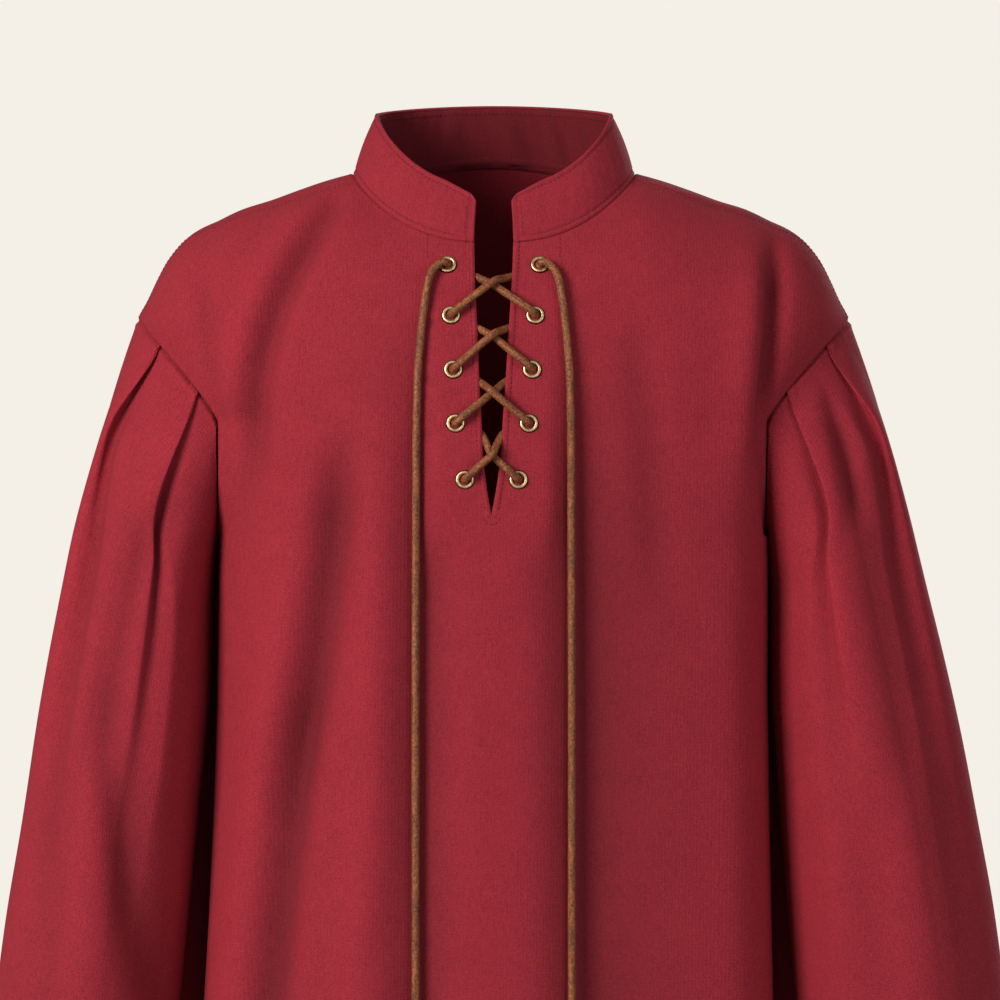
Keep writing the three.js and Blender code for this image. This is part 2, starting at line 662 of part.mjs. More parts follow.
function sleeve(side) {
  const cloth = net();
  const turned = side > 0;
  const rings = SLEEVE_RINGS.map(({ down }) => ringSpots(down).map(({ angle, up }) => {
    const at = wrap(angle);
    const step = 0.02;
    const here = sleeveSurface(at, down, side);
    const onward = sleeveSurface(wrap(at + Math.PI * 2 + step), down, side);
    const earlier = sleeveSurface(wrap(at + Math.PI * 2 - step), down, side);
    const far = sleeveSurface(at, down + 0.02, side);
    const normal = onward.sub(earlier).cross(far.sub(here)).normalize();
    const point = sleeveSurface(at, down, side).addScaledVector(normal, up - WALL / 2);
    if (down === 0) point.add(far.setLength(GAP + up * 0.9)).setX(point.x + GAP);
    return new THREE.Vector3(side * point.x, point.y, point.z);
  }));
  const around = rings[0].length;
  for (let j = 0; j < rings.length - 1; j += 1) {
    for (let i = 0; i < around; i += 1) {
      const put = (a, b) => cloth.put(`${a % around},${b}`, () => rings[b][a % around]);
      const face = [put(i, j), put(i + 1, j), put(i + 1, j + 1), put(i, j + 1)];
      cloth.faces.push(turned ? face : face.reverse());
    }
  }
  return wall(cloth.points, cloth.faces, WALL / 2, WALL / 2);
}

// ---- Collar ----
function collar() {
  const edge = [];
  for (let i = 0; i <= COLUMNS; i += 1) edge.push(neckEdge(i / COLUMNS, true));
  for (let i = COLUMNS - 1; i >= 0; i -= 1) edge.push(neckEdge(i / COLUMNS, false));
  const half = edge.map((point) => point.clone());
  const whole = [...half, ...half.slice(0, -1).reverse().map((p) => p.clone().setX(-p.x))];
  const cloth = net();
  const put = (i, r) => cloth.put(`${i},${r}`, () => {
    const base = whole[i];
    const toFront = clamp(-base.y / NECK.front, 0, 1);
    const toBack = clamp(base.y / NECK.back, 0, 1);
    const height = COLLAR.side + (COLLAR.front - COLLAR.side) * toFront
      + (COLLAR.back - COLLAR.side) * toBack
      + COLLAR.nape * smooth(0, 0.9, toBack) * (1 - smooth(0.9, 1, toBack));
    const fromEdge = base.y < -NECK.front * 0.7 ? Math.abs(base.x) - SLIT_TOP : COLLAR.corner;
    const off = clamp(1 - fromEdge / COLLAR.corner, 0, 1);
    const cut = COLLAR.corner * (1 - Math.sqrt(1 - off * off)) * 0.85;
    const share = (r / COLLAR.rows) * (1 - cut / height);
    const scale = mix(1, COLLAR.taper, share);
    const bow = 1.5 * Math.sin(Math.PI * share);
    const out = 1 + bow / Math.hypot(base.x, base.y);
    return new THREE.Vector3(
      base.x * scale * out,
      base.y * scale * out,
      base.z + GAP * 1.5 + height * share,
    );
  });
  for (let i = 0; i < whole.length - 1; i += 1) {
    for (let r = 0; r < COLLAR.rows; r += 1) {
      cloth.faces.push([put(i, r), put(i + 1, r), put(i + 1, r + 1), put(i, r + 1)]);
    }
  }
  return wall(cloth.points, cloth.faces, 0.7, COLLAR_WALL - 0.7);
}

// ---- Eyelets ----
function eyeletFrame(row, side) {
  const at = bodyPoint(side * row.half, row.z, true);
  const normal = bodyPoint(side * row.half, row.z, true, 1).sub(at);
  const turn = new THREE.Quaternion().setFromUnitVectors(new THREE.Vector3(0, 1, 0), normal);
  return { at, turn };
}

function eyelet(row, side) {
  const profile = [
    [EYELET.bore, 0.6],
    [4.7, 1.5],
    [6, 1.35],
    [EYELET.flange, 0.5],
    [4.75, 0.5],
    [4.75, -2],
    [6, -2],
    [5.4, -2.7],
    [EYELET.bore, -2.2],
    [EYELET.bore, 0.6],
  ].map(([radius, height]) => new THREE.Vector2(radius, height));
  const geometry = new THREE.LatheGeometry(profile.reverse(), EYELET.sides);
  const { at, turn } = eyeletFrame(row, side);
  geometry.applyQuaternion(turn);
  return geometry.translate(at.x, at.y, at.z);
}

// ---- Cord ----
// Runs through exactly the given places, so that its rings stand close only at bends.
class Route extends THREE.Curve {
  constructor(places) {
    super();
    this.places = places;
  }

  getPoint(t) {
    return this.places[Math.round(t * (this.places.length - 1))].clone();
  }

  getPointAt(t) {
    return this.getPoint(t);
  }

  getTangentAt(t) {
    const last = this.places.length - 1;
    const k = Math.round(t * last);
    const before = this.places[Math.max(0, k - 1)];
    const after = this.places[Math.min(last, k + 1)];
    return after.clone().sub(before).normalize();
  }
}

// Places along a smooth curve, a new one where it has turned or gone far enough.
function thinOut(controls, turnLimit, stepLimit) {
  const curve = new THREE.CatmullRomCurve3(controls, false, 'centripetal');
  const fine = curve.getPoints(controls.length * 24);
  const near = 8; // the first and last rings face straight along the curve
  const kept = [fine[0], fine[near]];
  let heading = fine[near].clone().sub(fine[0]).normalize();
  for (let k = near + 1; k < fine.length - near - 1; k += 1) {
    const next = fine[k + 1].clone().sub(fine[k]).normalize();
    const far = fine[k].distanceTo(kept[kept.length - 1]);
    if ((heading.angleTo(next) > turnLimit && far > 0.8) || far > stepLimit) {
      kept.push(fine[k]);
      heading = next;
    }
  }
  kept.push(fine[fine.length - 1 - near], fine[fine.length - 1]);
  return kept;
}

function cordAlong(controls, turnLimit, stepLimit) {
  const places = thinOut(controls, turnLimit, stepLimit);
  const circle = [];
  for (let k = 0; k < CORD.sides; k += 1) {
    const angle = (k / CORD.sides) * 2 * Math.PI;
    circle.push(new THREE.Vector2(CORD.radius * Math.cos(angle), CORD.radius * Math.sin(angle)));
  }
  return new THREE.ExtrudeGeometry(new THREE.Shape(circle), {
    steps: places.length - 1,
    extrudePath: new Route(places),
    bevelEnabled: false,
  });
}

// One strand: in through each eyelet from the front, out of the slit, over to the other side.
function strand(startSide) {
  const path = [];
  const put = (x, z, out) => path.push(bodyPoint(x, z, true, out));
  let side = startSide;
  EYELETS.forEach((row, n) => {
    const bend = ({ across, out }, fall) => {
      put(side * (row.half - across), row.z + fall * across, out);
    };
    if (n === 0) [{ across: 0, out: 0.9 }, { across: 0, out: 0.4 }].forEach((step) => bend(step, 0));
    else DIVE.forEach((step) => bend(step, 0.5));
    RISE.forEach((step) => bend(step, 0));
    if (n === EYELETS.length - 1) return;
    const half = read(SLIT, 'z', 'half', row.leaveZ);
    const next = EYELETS[n + 1];
    const top = row.onTop === side;
    put(side * (half + 4), mix(row.z, row.leaveZ, 0.6), -5.6);
    put(side * (half - 1.8), mix(row.z, row.leaveZ, 0.9), -4.6);
    put(side * (half - 3.7), row.leaveZ, -1.2);
    put(side * (half - 4.2), row.leaveZ - 2.5, top ? 3 : 1);
    put(0, row.crossZ, top ? 7.9 : 1.7);
    const overX = half + 3;
    const share = overX / next.half;
    put(-side * overX, mix(row.crossZ, next.z, share), top ? 6.2 : 4.1);
    side = -side;
  });
  return path;
}

function lacing() {
  const right = strand(-1);
  const left = strand(1);
  const foot = EYELETS[EYELETS.length - 1];
  const loop = [
    bodyPoint(-foot.half + 3, foot.z - 6, true, -6.2),
    bodyPoint(-foot.half + 8, foot.z - 15, true, -5.8),
    bodyPoint(0, foot.z - 21, true, -5.8),
    bodyPoint(foot.half - 8, foot.z - 15, true, -5.8),
    bodyPoint(foot.half - 3, foot.z - 6, true, -6.2),
  ];
  if (right[right.length - 1].x > 0) loop.reverse();
  return cordAlong([...right, ...loop, ...left.reverse()], 0.5, 14);
}

function cordEnd(side) {
  const [top] = EYELETS;
  const turn = DIVE.slice(1, -2).reverse();
  const path = [
    bodyPoint(side * (top.half + 0.36), top.z, true, 2.45),
    ...turn.map((step) => bodyPoint(side * (top.half + step.across), top.z, true, step.out)),
    ...CORD_ENDS.map((row) => bodyPoint(side * row.x, row.z, true, row.out)),
    bodyPoint(side * CORD_ENDS[CORD_ENDS.length - 1].x, CORD.endZ, true, CORD.rest),
  ];
  return cordAlong(path, 0.4, 34);
}

// ---- Cutting the eyelet holes ----
const wasm = await Module();
wasm.setup();

function toManifold(geometry) {
  const bare = geometry.toNonIndexed();
  bare.deleteAttribute('normal');
  bare.deleteAttribute('uv');
  const points = [];
  const triangles = [];
  const known = new Map();
  const place = bare.getAttribute('position');
  for (let k = 0; k < place.count; k += 1) {
    const spot = [place.getX(k), place.getY(k), place.getZ(k)];
    const key = spot.map((value) => value.toFixed(4)).join();
    if (!known.has(key)) {
      known.set(key, points.length / 3);
      points.push(...spot);
    }
    triangles.push(known.get(key));
  }
  return new wasm.Manifold(new wasm.Mesh({
    numProp: 3,
    vertProperties: new Float32Array(points),
    triVerts: new Uint32Array(triangles),
  }));
}

function cutHoles(geometry) {
  let cloth = toManifold(geometry);
  for (const side of [1, -1]) {
    for (const row of EYELETS) {
      const punch = new THREE.CylinderGeometry(EYELET.hole, EYELET.hole, 14, EYELET.sides);
      const { at, turn } = eyeletFrame(row, side);
      punch.applyQuaternion(turn);
      punch.translate(at.x, at.y, at.z);
      cloth = cloth.subtract(toManifold(punch));
    }
  }
  const mesh = cloth.getMesh();
  const cut = new THREE.BufferGeometry();
  cut.setAttribute('position', new THREE.Float32BufferAttribute(mesh.vertProperties, 3));
  cut.setIndex([...mesh.triVerts]);
  return cut;
}

// ---- Assembly ----
const group = new THREE.Group();
group.name = 'medievalShirt';

function add(name, geometry, color, metalness, roughness) {
  const material = new THREE.MeshStandardMaterial({ color, metalness, roughness });
  const mesh = new THREE.Mesh(geometry, material);
  mesh.name = name;
  group.add(mesh);
}

const addCloth = (name, geometry) => add(name, geometry, 0x9c1520, 0, 0.9);
const addLeather = (name, geometry) => add(name, geometry, 0x7a4422, 0, 0.6);

const frontNet = panel(true);
const backNet = panel(false);
addCloth('bodyFront', cutHoles(wall(frontNet.points, frontNet.faces, 0, WALL)));
addCloth('bodyBack', wall(backNet.points, backNet.faces, 0, WALL));
addCloth('sleeveLeft', sleeve(1));
addCloth('sleeveRight', sleeve(-1));
addCloth('collar', collar());
EYELETS.forEach((row, n) => {
  add(`eyeletLeft${n + 1}`, eyelet(row, 1), 0x9a7b45, 0.9, 0.4);
  add(`eyeletRight${n + 1}`, eyelet(row, -1), 0x9a7b45, 0.9, 0.4);
});
addLeather('laceMiddle', lacing());
addLeather('laceEndLeft', cordEnd(1));
addLeather('laceEndRight', cordEnd(-1));

export default group;
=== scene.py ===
# Medieval laced shirt: crimson cotton canvas, stand collar, leather lacing through brass eyelets.
# Lengths in the tables are millimetres; every mesh is made in metres, +Z up, front facing -Y.
import math
import random

import bmesh
import bpy
import numpy as np
from mathutils import Matrix, Vector
from mathutils.bvhtree import BVHTree


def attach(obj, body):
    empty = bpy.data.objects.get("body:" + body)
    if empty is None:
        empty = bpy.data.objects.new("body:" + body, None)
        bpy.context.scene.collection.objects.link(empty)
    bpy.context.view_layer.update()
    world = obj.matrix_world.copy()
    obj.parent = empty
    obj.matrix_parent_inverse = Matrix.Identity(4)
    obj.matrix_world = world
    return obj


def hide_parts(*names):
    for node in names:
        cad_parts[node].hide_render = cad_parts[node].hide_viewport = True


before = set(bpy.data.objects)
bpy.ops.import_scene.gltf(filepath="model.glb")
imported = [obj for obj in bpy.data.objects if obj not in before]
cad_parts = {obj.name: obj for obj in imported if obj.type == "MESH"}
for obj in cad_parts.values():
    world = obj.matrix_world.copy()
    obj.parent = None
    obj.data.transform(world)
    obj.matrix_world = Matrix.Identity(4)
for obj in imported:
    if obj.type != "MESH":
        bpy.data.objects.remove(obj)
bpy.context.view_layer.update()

MM = 0.001
WALL = 1.2
COLLAR_WALL = 2.6
HEM_Z = -790
UNDERARM_Z = -262
BACK_ARCH_Z = -150
SECTION_POWER = 2.6
CHEST_DEPTH = 121
BACK_DEPTH = 118
LEAN = 0.0085
LEAN_FROM = -50
NECK_HALF, NECK_FRONT, NECK_BACK, NECK_RISE = 102.5, 86, 78, 30
ARMHOLE_MID, ARMHOLE_RISE, ARMHOLE_DEPTH = -183, 79, 66
ARMHOLE_X, ARMHOLE_REACH, ARMHOLE_START, ARMHOLE_POWER, ARMHOLE_TUCK = 199, 64, -180, 1.15, 2
SLIT_TOP = 14
SLIT_END = -246
COLLAR_FRONT, COLLAR_SIDE, COLLAR_TAPER = 40, 45, 0.84
COLLAR_RIM, COLLAR_RIM_RISE = 49, 12.2
COLLAR_CORNER, COLLAR_CUT, COLLAR_ROUND = 30, 8, 6
COLLAR_GAP, COLLAR_BULGE, COLLAR_PROUD = 0.45, 1.5, 0.9
# Lines of stitches: distances from the band's edges, its seam, the slit, armhole and shoulder seam.
COLLAR_STITCH, BASE_STITCH, SLIT_STITCH, ARMHOLE_STITCH = 4.2, 3.2, 4, 3.2
SHOULDER_STITCHES = (2.8, 7)
FACING_X = 47.5
# The doubled band is stiff and its relief low, so its relief is scaled up to get as much painted shade
# in its troughs as the deeper folds of the body get.
COLLAR_PAINTED_SHADE_GAIN = 2.5
SLEEVE_REST = 2.2
CORD_RADIUS = 2.8
CORD_END_Z = -640
STITCH_PITCH, STITCH_HALF = 3.4, 0.45
HEM_TURN = 15
# Folds die out this close to a seam, and this span of their height fills the Fold map.
CALM_SEAM = 24
FOLD_SPAN = 40
# Radii that turn angles round a sleeve into lengths: of its pleats, and of its cloth laid flat.
PLEAT_RADIUS, FLAT_RADIUS = 78, 80
CAMERA_BACK, VIEW_WIDTH, VIEW_X, VIEW_Z, SENSOR = 2800, 740, 4.44, -236.8, 36
FLOOR_Z, SWEEP_REACH, SWEEP_BEND, SWEEP_WALL = -830, 4000, 700, 3600

SHOULDER = {
    "x": (0, 103, 121, 142, 164, 186, 203, 218, 228, 240, 248, 255, 263, 268),
    "z": (5, 4, 0, -7, -15, -22, -30, -37, -44, -59, -74, -89, -104, -120),
}
BODY = {
    "z": (-790, -592, -533, -459, -385, -311, -262),
    "half": (214, 207.5, 205.5, 203, 201.5, 201, 201),
    "front": (114, 115, 116, 117, 119, 120, 121),
    "back": (112, 113, 114, 115, 116, 117, 118),
}
SLIT = {
    "z": (-246, -228, -205, -182, -160, -122, -74, -50),
    "half": (0.3, 3.4, 6.2, 7.4, 8.8, 10.8, 13.3, 14),
}
SLEEVE_OUTER = {
    "z": (-645, -592, -533, -474, -414, -355, -296, -237, -192, -163, -133, -104),
    "x": (377, 369.8, 361.5, 351, 340.4, 328.4, 315, 301.5, 290, 282.3, 273, 263),
}
SLEEVE_CLEAR = {
    "z": (-660, -592, -533, -459, -385, -325, -290, -262),
    "gap": (22, 18, 14.5, 10.5, 5, 3.6, 2.8, 0.3),
}
SLEEVE_RING = {
    "down": (0, 0.03, 0.07, 0.12, 0.18, 0.26, 0.36, 0.48, 0.61, 0.75, 0.88, 1),
    "depth": (66, 68, 71, 73, 75, 77, 79, 81, 83, 84, 85, 85),
    "forward": (0, 1, 2, 3, 4, 6, 8, 9, 10, 11, 12, 12),
}
OUTER_DROP, INNER_DROP, SLEEVE_SWAY = 541, 398, 5

# Soft troughs (up below 0) and ridges of the cloth, as they lie seen from the front:
# x0, z0, x1, z1, bow, wide, up.
FRONT_FOLDS = [
    (-108, -8, -170, -215, -19, 10, -9.5),
    (-128, -14, -188, -190, -20, 14, 4),
    (-108, -210, -140, -430, 4, 15, -14),
    (-138, -400, -182, -760, 2, 16, -15),
    (-146, -290, -205, -700, 6, 18, 5),
    (-78, -250, -100, -780, 0, 18, 4),
    (-50, -150, -46, -800, 0, 21, -11),
    (64, -160, 77, -800, 0, 27, -13),
    (100, -230, 112, -800, 0, 30, -6),
    (104, -110, 124, -300, 0, 16, -4),
    (176, -140, 186, -800, 0, 24, 8),
    (204, -58, 192, -190, 2, 7, -12),
    (186, -60, 176, -200, 2, 12, 3),
    (-209, -78, -200, -196, 2, 8, -4),
]
# The same on the sleeves, x from the body's middle outwards: wearer's left, wearer's right, behind.
SLEEVE_FOLDS = {
    1: [
        (236, -146, 262, -240, 3, 8, -10),
        (266, -236, 300, -430, 4, 17, -4),
        (232, -262, 248, -560, 3, 18, 3),
        (318, -420, 350, -640, 0, 20, -3),
        (270, -440, 268, -650, 0, 20, -4),
    ],
    -1: [
        (240, -238, 277, -405, 3, 15, -9),
        (277, -385, 230, -640, 5, 16, -8),
        (226, -262, 240, -450, 3, 13, 4),
        (283, -232, 318, -440, 2, 9, -3),
        (292, -232, 330, -450, 2, 9, 2.5),
        (318, -430, 322, -650, 0, 18, -4),
    ],
}
SLEEVE_BACK_FOLDS = [
    (246, -200, 282, -470, 4, 15, -7),
    (282, -430, 262, -650, 3, 17, -6),
    (300, -250, 336, -600, 0, 18, -5),
]
BACK_FOLDS = [
    (-40, -120, -66, -780, 0, 22, -6),
    (46, -150, 70, -780, 0, 24, -6),
    (130, -230, 168, -700, 4, 22, -6),
    (-128, -210, -160, -720, -4, 22, -6),
    (0, -200, 4, -780, 0, 28, 4),
]

# half: distance of the eyelet from the middle; leave and cross: heights of the cord below it.
EYELETS = [
    {"half": 33, "z": -68.6, "leave": -75, "cross": -84, "on_top": 1},
    {"half": 30, "z": -105.3, "leave": -113, "cross": -121, "on_top": 1},
    {"half": 28, "z": -144.2, "leave": -152, "cross": -161, "on_top": -1},
    {"half": 26, "z": -182.4, "leave": -190, "cross": -205, "on_top": 1},
    {"half": 19, "z": -222.4},
]
DIVE = ((10, 4.9), (4, 4.8), (2, 4.26), (0.54, 2.8), (0.1, 1.7), (0, 0.8))
RISE = ((0, -0.8), (0, -2), (0.54, -4), (2, -5.46), (4, -6))
CORD_ENDS = [
    (39.5, -70.4, 4.9), (43.4, -74.2, 4.7), (46.2, -81, 4.5), (48.4, -92, 4.1),
    (50.6, -109, 3.9), (52.4, -128, 4), (54, -150, 4.4), (55, -190, 4.9),
    (55.4, -240, 5.2), (55.8, -300, 5.2), (56, -380, 5.2), (56, -460, 5.2),
    (56, -550, 5.2), (56, CORD_END_Z, 5.2),
]


# ---- Reading the tables ----
def smooth(low, high, value):
    t = np.clip((value - low) / (high - low), 0, 1)
    return t * t * (3 - 2 * t)


def mix(a, b, t):
    return a + (b - a) * t


def read(table, key, column, value):
    """Smooth reading of one column of a table against another that rises."""
    xs, ys = (np.array(table[name], float) for name in (key, column))
    at = np.clip(value, xs[0], xs[-1])
    i = np.clip(np.searchsorted(xs, at) - 1, 0, len(xs) - 2)
    low = np.maximum(np.arange(len(xs)) - 1, 0)
    high = np.minimum(np.arange(len(xs)) + 1, len(xs) - 1)
    slope = (ys[high] - ys[low]) / (xs[high] - xs[low])
    span = xs[i + 1] - xs[i]
    t = (at - xs[i]) / span
    lift = span * t * (1 - t) * ((1 - t) * slope[i] - t * slope[i + 1])
    return ys[i] + (ys[i + 1] - ys[i]) * t * t * (3 - 2 * t) + lift


def lean(z):
    return LEAN * np.minimum(0, z - LEAN_FROM)


def shoulder_z(x):
    return read(SHOULDER, "x", "z", np.abs(x))


def square_arc(share):
    return np.maximum(0, 1 - np.abs(share) ** SECTION_POWER) ** (1 / SECTION_POWER)


# ---- Armhole and body sections ----
def armhole_z(angle):
    return ARMHOLE_MID + ARMHOLE_RISE * np.cos(angle)


def armhole_x(z):
    over = np.maximum(0, (z - ARMHOLE_START) / (ARMHOLE_MID + ARMHOLE_RISE - ARMHOLE_START))
    under = np.maximum(0, (-200 - z) / 62)
    return ARMHOLE_X + ARMHOLE_REACH * over ** ARMHOLE_POWER + ARMHOLE_TUCK * under * under


def armhole_depth(z):
    share = np.clip((z - ARMHOLE_MID) / ARMHOLE_RISE, -1, 1)
    return ARMHOLE_DEPTH * np.sqrt(1 - share * share)


def ridge_z(x, front):
    if front:
        return shoulder_z(x)
    return shoulder_z(x) + NECK_RISE * np.maximum(0, 1 - (x / NECK_HALF) ** 2) ** 1.5


def arch(x, z, front):
    foot = UNDERARM_Z if front else BACK_ARCH_Z
    t = np.clip((z - foot) / (ridge_z(x, front) - foot), 0, 1)
    return np.sqrt(1 - t ** 3) if front else np.cbrt(1 - t ** 3.5)


def section_half(z, front):
    at = np.clip(z, UNDERARM_Z, ARMHOLE_MID + ARMHOLE_RISE - 0.5)
    x = armhole_x(at)
    full = (CHEST_DEPTH if front else BACK_DEPTH) * arch(x, at, front)
    over = x / square_arc(armhole_depth(at) / full)
    return np.where(z <= UNDERARM_Z, read(BODY, "z", "half", z), over)


def shoulder_depth(x, front):
    full = CHEST_DEPTH if front else BACK_DEPTH
    return full * square_arc(np.minimum(1, np.abs(x) / section_half(np.float64(0), front)))


def arch_lengths(front):
    """Length of the cloth up the middle of a panel against the angle of its arch."""
    depth = CHEST_DEPTH if front else BACK_DEPTH
    foot = UNDERARM_Z if front else BACK_ARCH_Z
    angle = np.linspace(0, math.pi / 2, 721)
    rise = (ridge_z(np.float64(60), front) - foot) * np.sin(angle) ** (2 / 3 if front else 2 / 3.5)
    reach = depth * np.cos(angle) ** (1 if front else 2 / 3)
    reach[-1] = 0
    steps = np.hypot(np.diff(rise), np.diff(reach))
    return angle, foot - UNDERARM_Z + np.concatenate([[0], np.cumsum(steps)])


ARCH = {True: arch_lengths(True), False: arch_lengths(False)}
RIDGE_LENGTH = ARCH[False][1][-1]


def plain_body(x, up, front):
    """Body cloth without folds, x from the middle and up along the cloth from the underarm."""
    x, up = np.broadcast_arrays(np.asarray(x, float), np.asarray(up, float))
    angles, lengths = ARCH[front]
    foot = UNDERARM_Z if front else BACK_ARCH_Z
    angle = np.interp(up, lengths, angles)
    rise = (ridge_z(x, front) - foot) * np.sin(angle) ** (2 / 3 if front else 2 / 3.5)
    z = np.where(up <= foot - UNDERARM_Z, UNDERARM_Z + up, foot + rise)
    share = np.where(up <= foot - UNDERARM_Z, 1, np.cos(angle).clip(0) ** (1 if front else 2 / 3))
    low = read(BODY, "z", "front" if front else "back", z)
    depth = np.where(z <= UNDERARM_Z, low, CHEST_DEPTH if front else BACK_DEPTH)
    y = depth * share * square_arc(np.minimum(1, np.abs(x) / section_half(z, front)))
    if not front:
        past = np.maximum(0, up - RIDGE_LENGTH)
        reach = np.minimum(1, past / shoulder_depth(x, True))
        over_z = UNDERARM_Z + (shoulder_z(x) - UNDERARM_Z) * np.cbrt(1 - reach * reach)
        y = np.where(up > RIDGE_LENGTH, -past, y)
        z = np.where(up > RIDGE_LENGTH, over_z, z)
    return np.stack([x + lean(z), -y if front else y, z], axis=-1)


def fold_height(folds, x, z):
    height = np.zeros(np.broadcast(x, z).shape)
    for x0, z0, x1, z1, bow, wide, up in folds:
        share = (z0 - z) / (z0 - z1)
        fade = smooth(-0.18, 0.22, share) * (1 - smooth(0.8, 1.25, share))
        along = np.clip(share, 0, 1)
        centre = mix(x0, x1, share) + bow * 4 * along * (1 - along)
        slope = (x1 - x0) / (z1 - z0)
        away = (x - centre) / math.hypot(1, slope) / wide
        height = height + up * fade * np.exp(-away * away)
    return height


def small_creases(seed, count, reach, top, foot):
    """Faint short troughs and ridges scattered over a panel, as rows of a fold table."""
    pick = random.Random(seed)
    rows = []
    for _ in range(count):
        x, z = pick.uniform(-reach, reach), pick.uniform(foot, top)
        long, tilt = pick.uniform(40, 130), pick.uniform(-0.5, 0.5)
        rows.append((x, z, x + tilt * long, z - long, pick.uniform(-4, 4), pick.uniform(6, 13),
                     pick.uniform(-0.7, 0.5)))
    return rows


def eyelet_creases():
    """Short pulls between the eyelets and outwards from them."""
    rows = []
    for n, row in enumerate(EYELETS):
        for side in (1, -1):
            half, z = row["half"], row["z"]
            rows.append((side * (half + 7), z - 2, side * (half + 24), z - 12 - 3 * side, 0, 3.2, -0.7))
            rows.append((side * (half + 7), z + 3, side * (half + 18), z - 3, 0, 2.6, 0.45))
            rows.append((side * (half - 13), z - 11, side * (half + 5), z - 25, 1, 2.6, -0.6))
            rows.append((side * (half - 8), z - 9, side * (half - 11 + n), z - 24, 0, 2.2, -0.4))
    return rows


FINE = {
    True: eyelet_creases() + small_creases(3, 46, 190, -40, -760),
    False: small_creases(8, 46, 190, -20, -760),
}


def body_folds(x, z, front, calm=0.0):
    """Height of the folds; they are left out round the lacing, and calm flattens them at the seams."""
    flat = (1 - smooth(36, 56, np.abs(x))) * smooth(-300, -240, z) if front else 0
    folds = (1 - flat) * fold_height(FRONT_FOLDS if front else BACK_FOLDS, x, z)
    return (1 - calm) * (folds + fold_height(FINE[front], x, z))


def body_cloth(x, up, front, out=0.0, calm=0.0):
    """Body cloth with its folds, moved out along its normal."""
    x, up = np.broadcast_arrays(np.asarray(x, float), np.asarray(up, float))
    step = 0.6
    point = plain_body(x, up, front)
    across = plain_body(x + step, up, front) - plain_body(x - step, up, front)
    along = plain_body(x, up + step, front) - plain_body(x, up - step, front)
    normal = np.cross(across, along) if front else np.cross(along, across)
    normal /= np.maximum(np.linalg.norm(normal, axis=-1, keepdims=True), 1e-9)
    folds = body_folds(x, point[..., 2], front, calm)
    return point + normal * (out + folds)[..., None]


def length_up(point, front):
    """Length up the cloth from the underarm line to a point on the body."""
    point = np.asarray(point, float)
    foot = UNDERARM_Z if front else BACK_ARCH_Z
    x, y, z = point[..., 0], point[..., 1], point[..., 2]
    t = np.clip((z - foot) / (ridge_z(x, front) - foot), 0, 1)
    angle = np.arcsin(t ** (1.5 if front else 1.75))
    up = np.where(z <= foot, z - UNDERARM_Z, np.interp(angle, *ARCH[front]))
    return up if front else np.where(y < 0, RIDGE_LENGTH - y, up)


# ---- Edges of the half panels ----
def neck_point(angle, front):
    x = NECK_HALF * np.cos(angle) ** (2 / SECTION_POWER)
    y = (-NECK_FRONT if front else NECK_BACK) * np.sin(angle) ** (2 / SECTION_POWER)
    share = np.abs(y) / shoulder_depth(x, front)
    foot = UNDERARM_Z if front else BACK_ARCH_Z
    rise = np.cbrt(1 - share ** 2) if front else (1 - share ** 3) ** (1 / 3.5)
    return np.stack([x, y, foot + (ridge_z(x, front) - foot) * rise], axis=-1)


SEAM_Y = NECK_FRONT * 0.407
SEAM_ANGLE = math.asin(0.407 ** (SECTION_POWER / 2))
SLIT_ANGLE = math.acos((SLIT_TOP / NECK_HALF) ** (SECTION_POWER / 2))
SEAM_X = float(neck_point(np.float64(SEAM_ANGLE), True)[0])
SEAM_REACH = SEAM_Y / float(shoulder_depth(np.float64(SEAM_X), True))
TOP_X = ARMHOLE_X + ARMHOLE_REACH


def seam_point(along):
    share = 1 - (1 - along) ** 1.35
    x = mix(SEAM_X, TOP_X, share)
    reach = SEAM_REACH * (1 - share ** 3)
    z = UNDERARM_Z + (shoulder_z(x) - UNDERARM_Z) * np.cbrt(1 - reach * reach)
    return np.stack([x, -reach * shoulder_depth(x, True), z], axis=-1)


def neck_edge(along, front):
    if front:
        return neck_point(mix(SLIT_ANGLE, SEAM_ANGLE, along), True)
    angle = mix(math.pi / 2, -SEAM_ANGLE, along)
    behind = neck_point(np.abs(angle), False)
    before = neck_point(np.abs(angle), True)
    return np.where((angle < 0)[..., None], before, behind)


def armhole_edge(turn, front):
    """Armhole from the shoulder point (0) to the underarm (1)."""
    z = armhole_z(math.pi * turn)
    depth = armhole_depth(z)
    return np.stack([armhole_x(z), -depth if front else depth, z], axis=-1)


def section_x(half, depth, share):
    """Distance from the middle at a share of the cloth's length round a section."""
    angle = np.linspace(0, math.pi / 2, 241)
    x = half * np.sin(angle) ** (2 / SECTION_POWER)
    y = depth * np.cos(angle).clip(0) ** (2 / SECTION_POWER)
    length = np.concatenate([[0], np.cumsum(np.hypot(np.diff(x), np.diff(y)))])
    return np.interp(np.asarray(share) * length[-1], length, x)


HEM_SHARE = 12 / 21
SLIT_ROW = 10 / 11


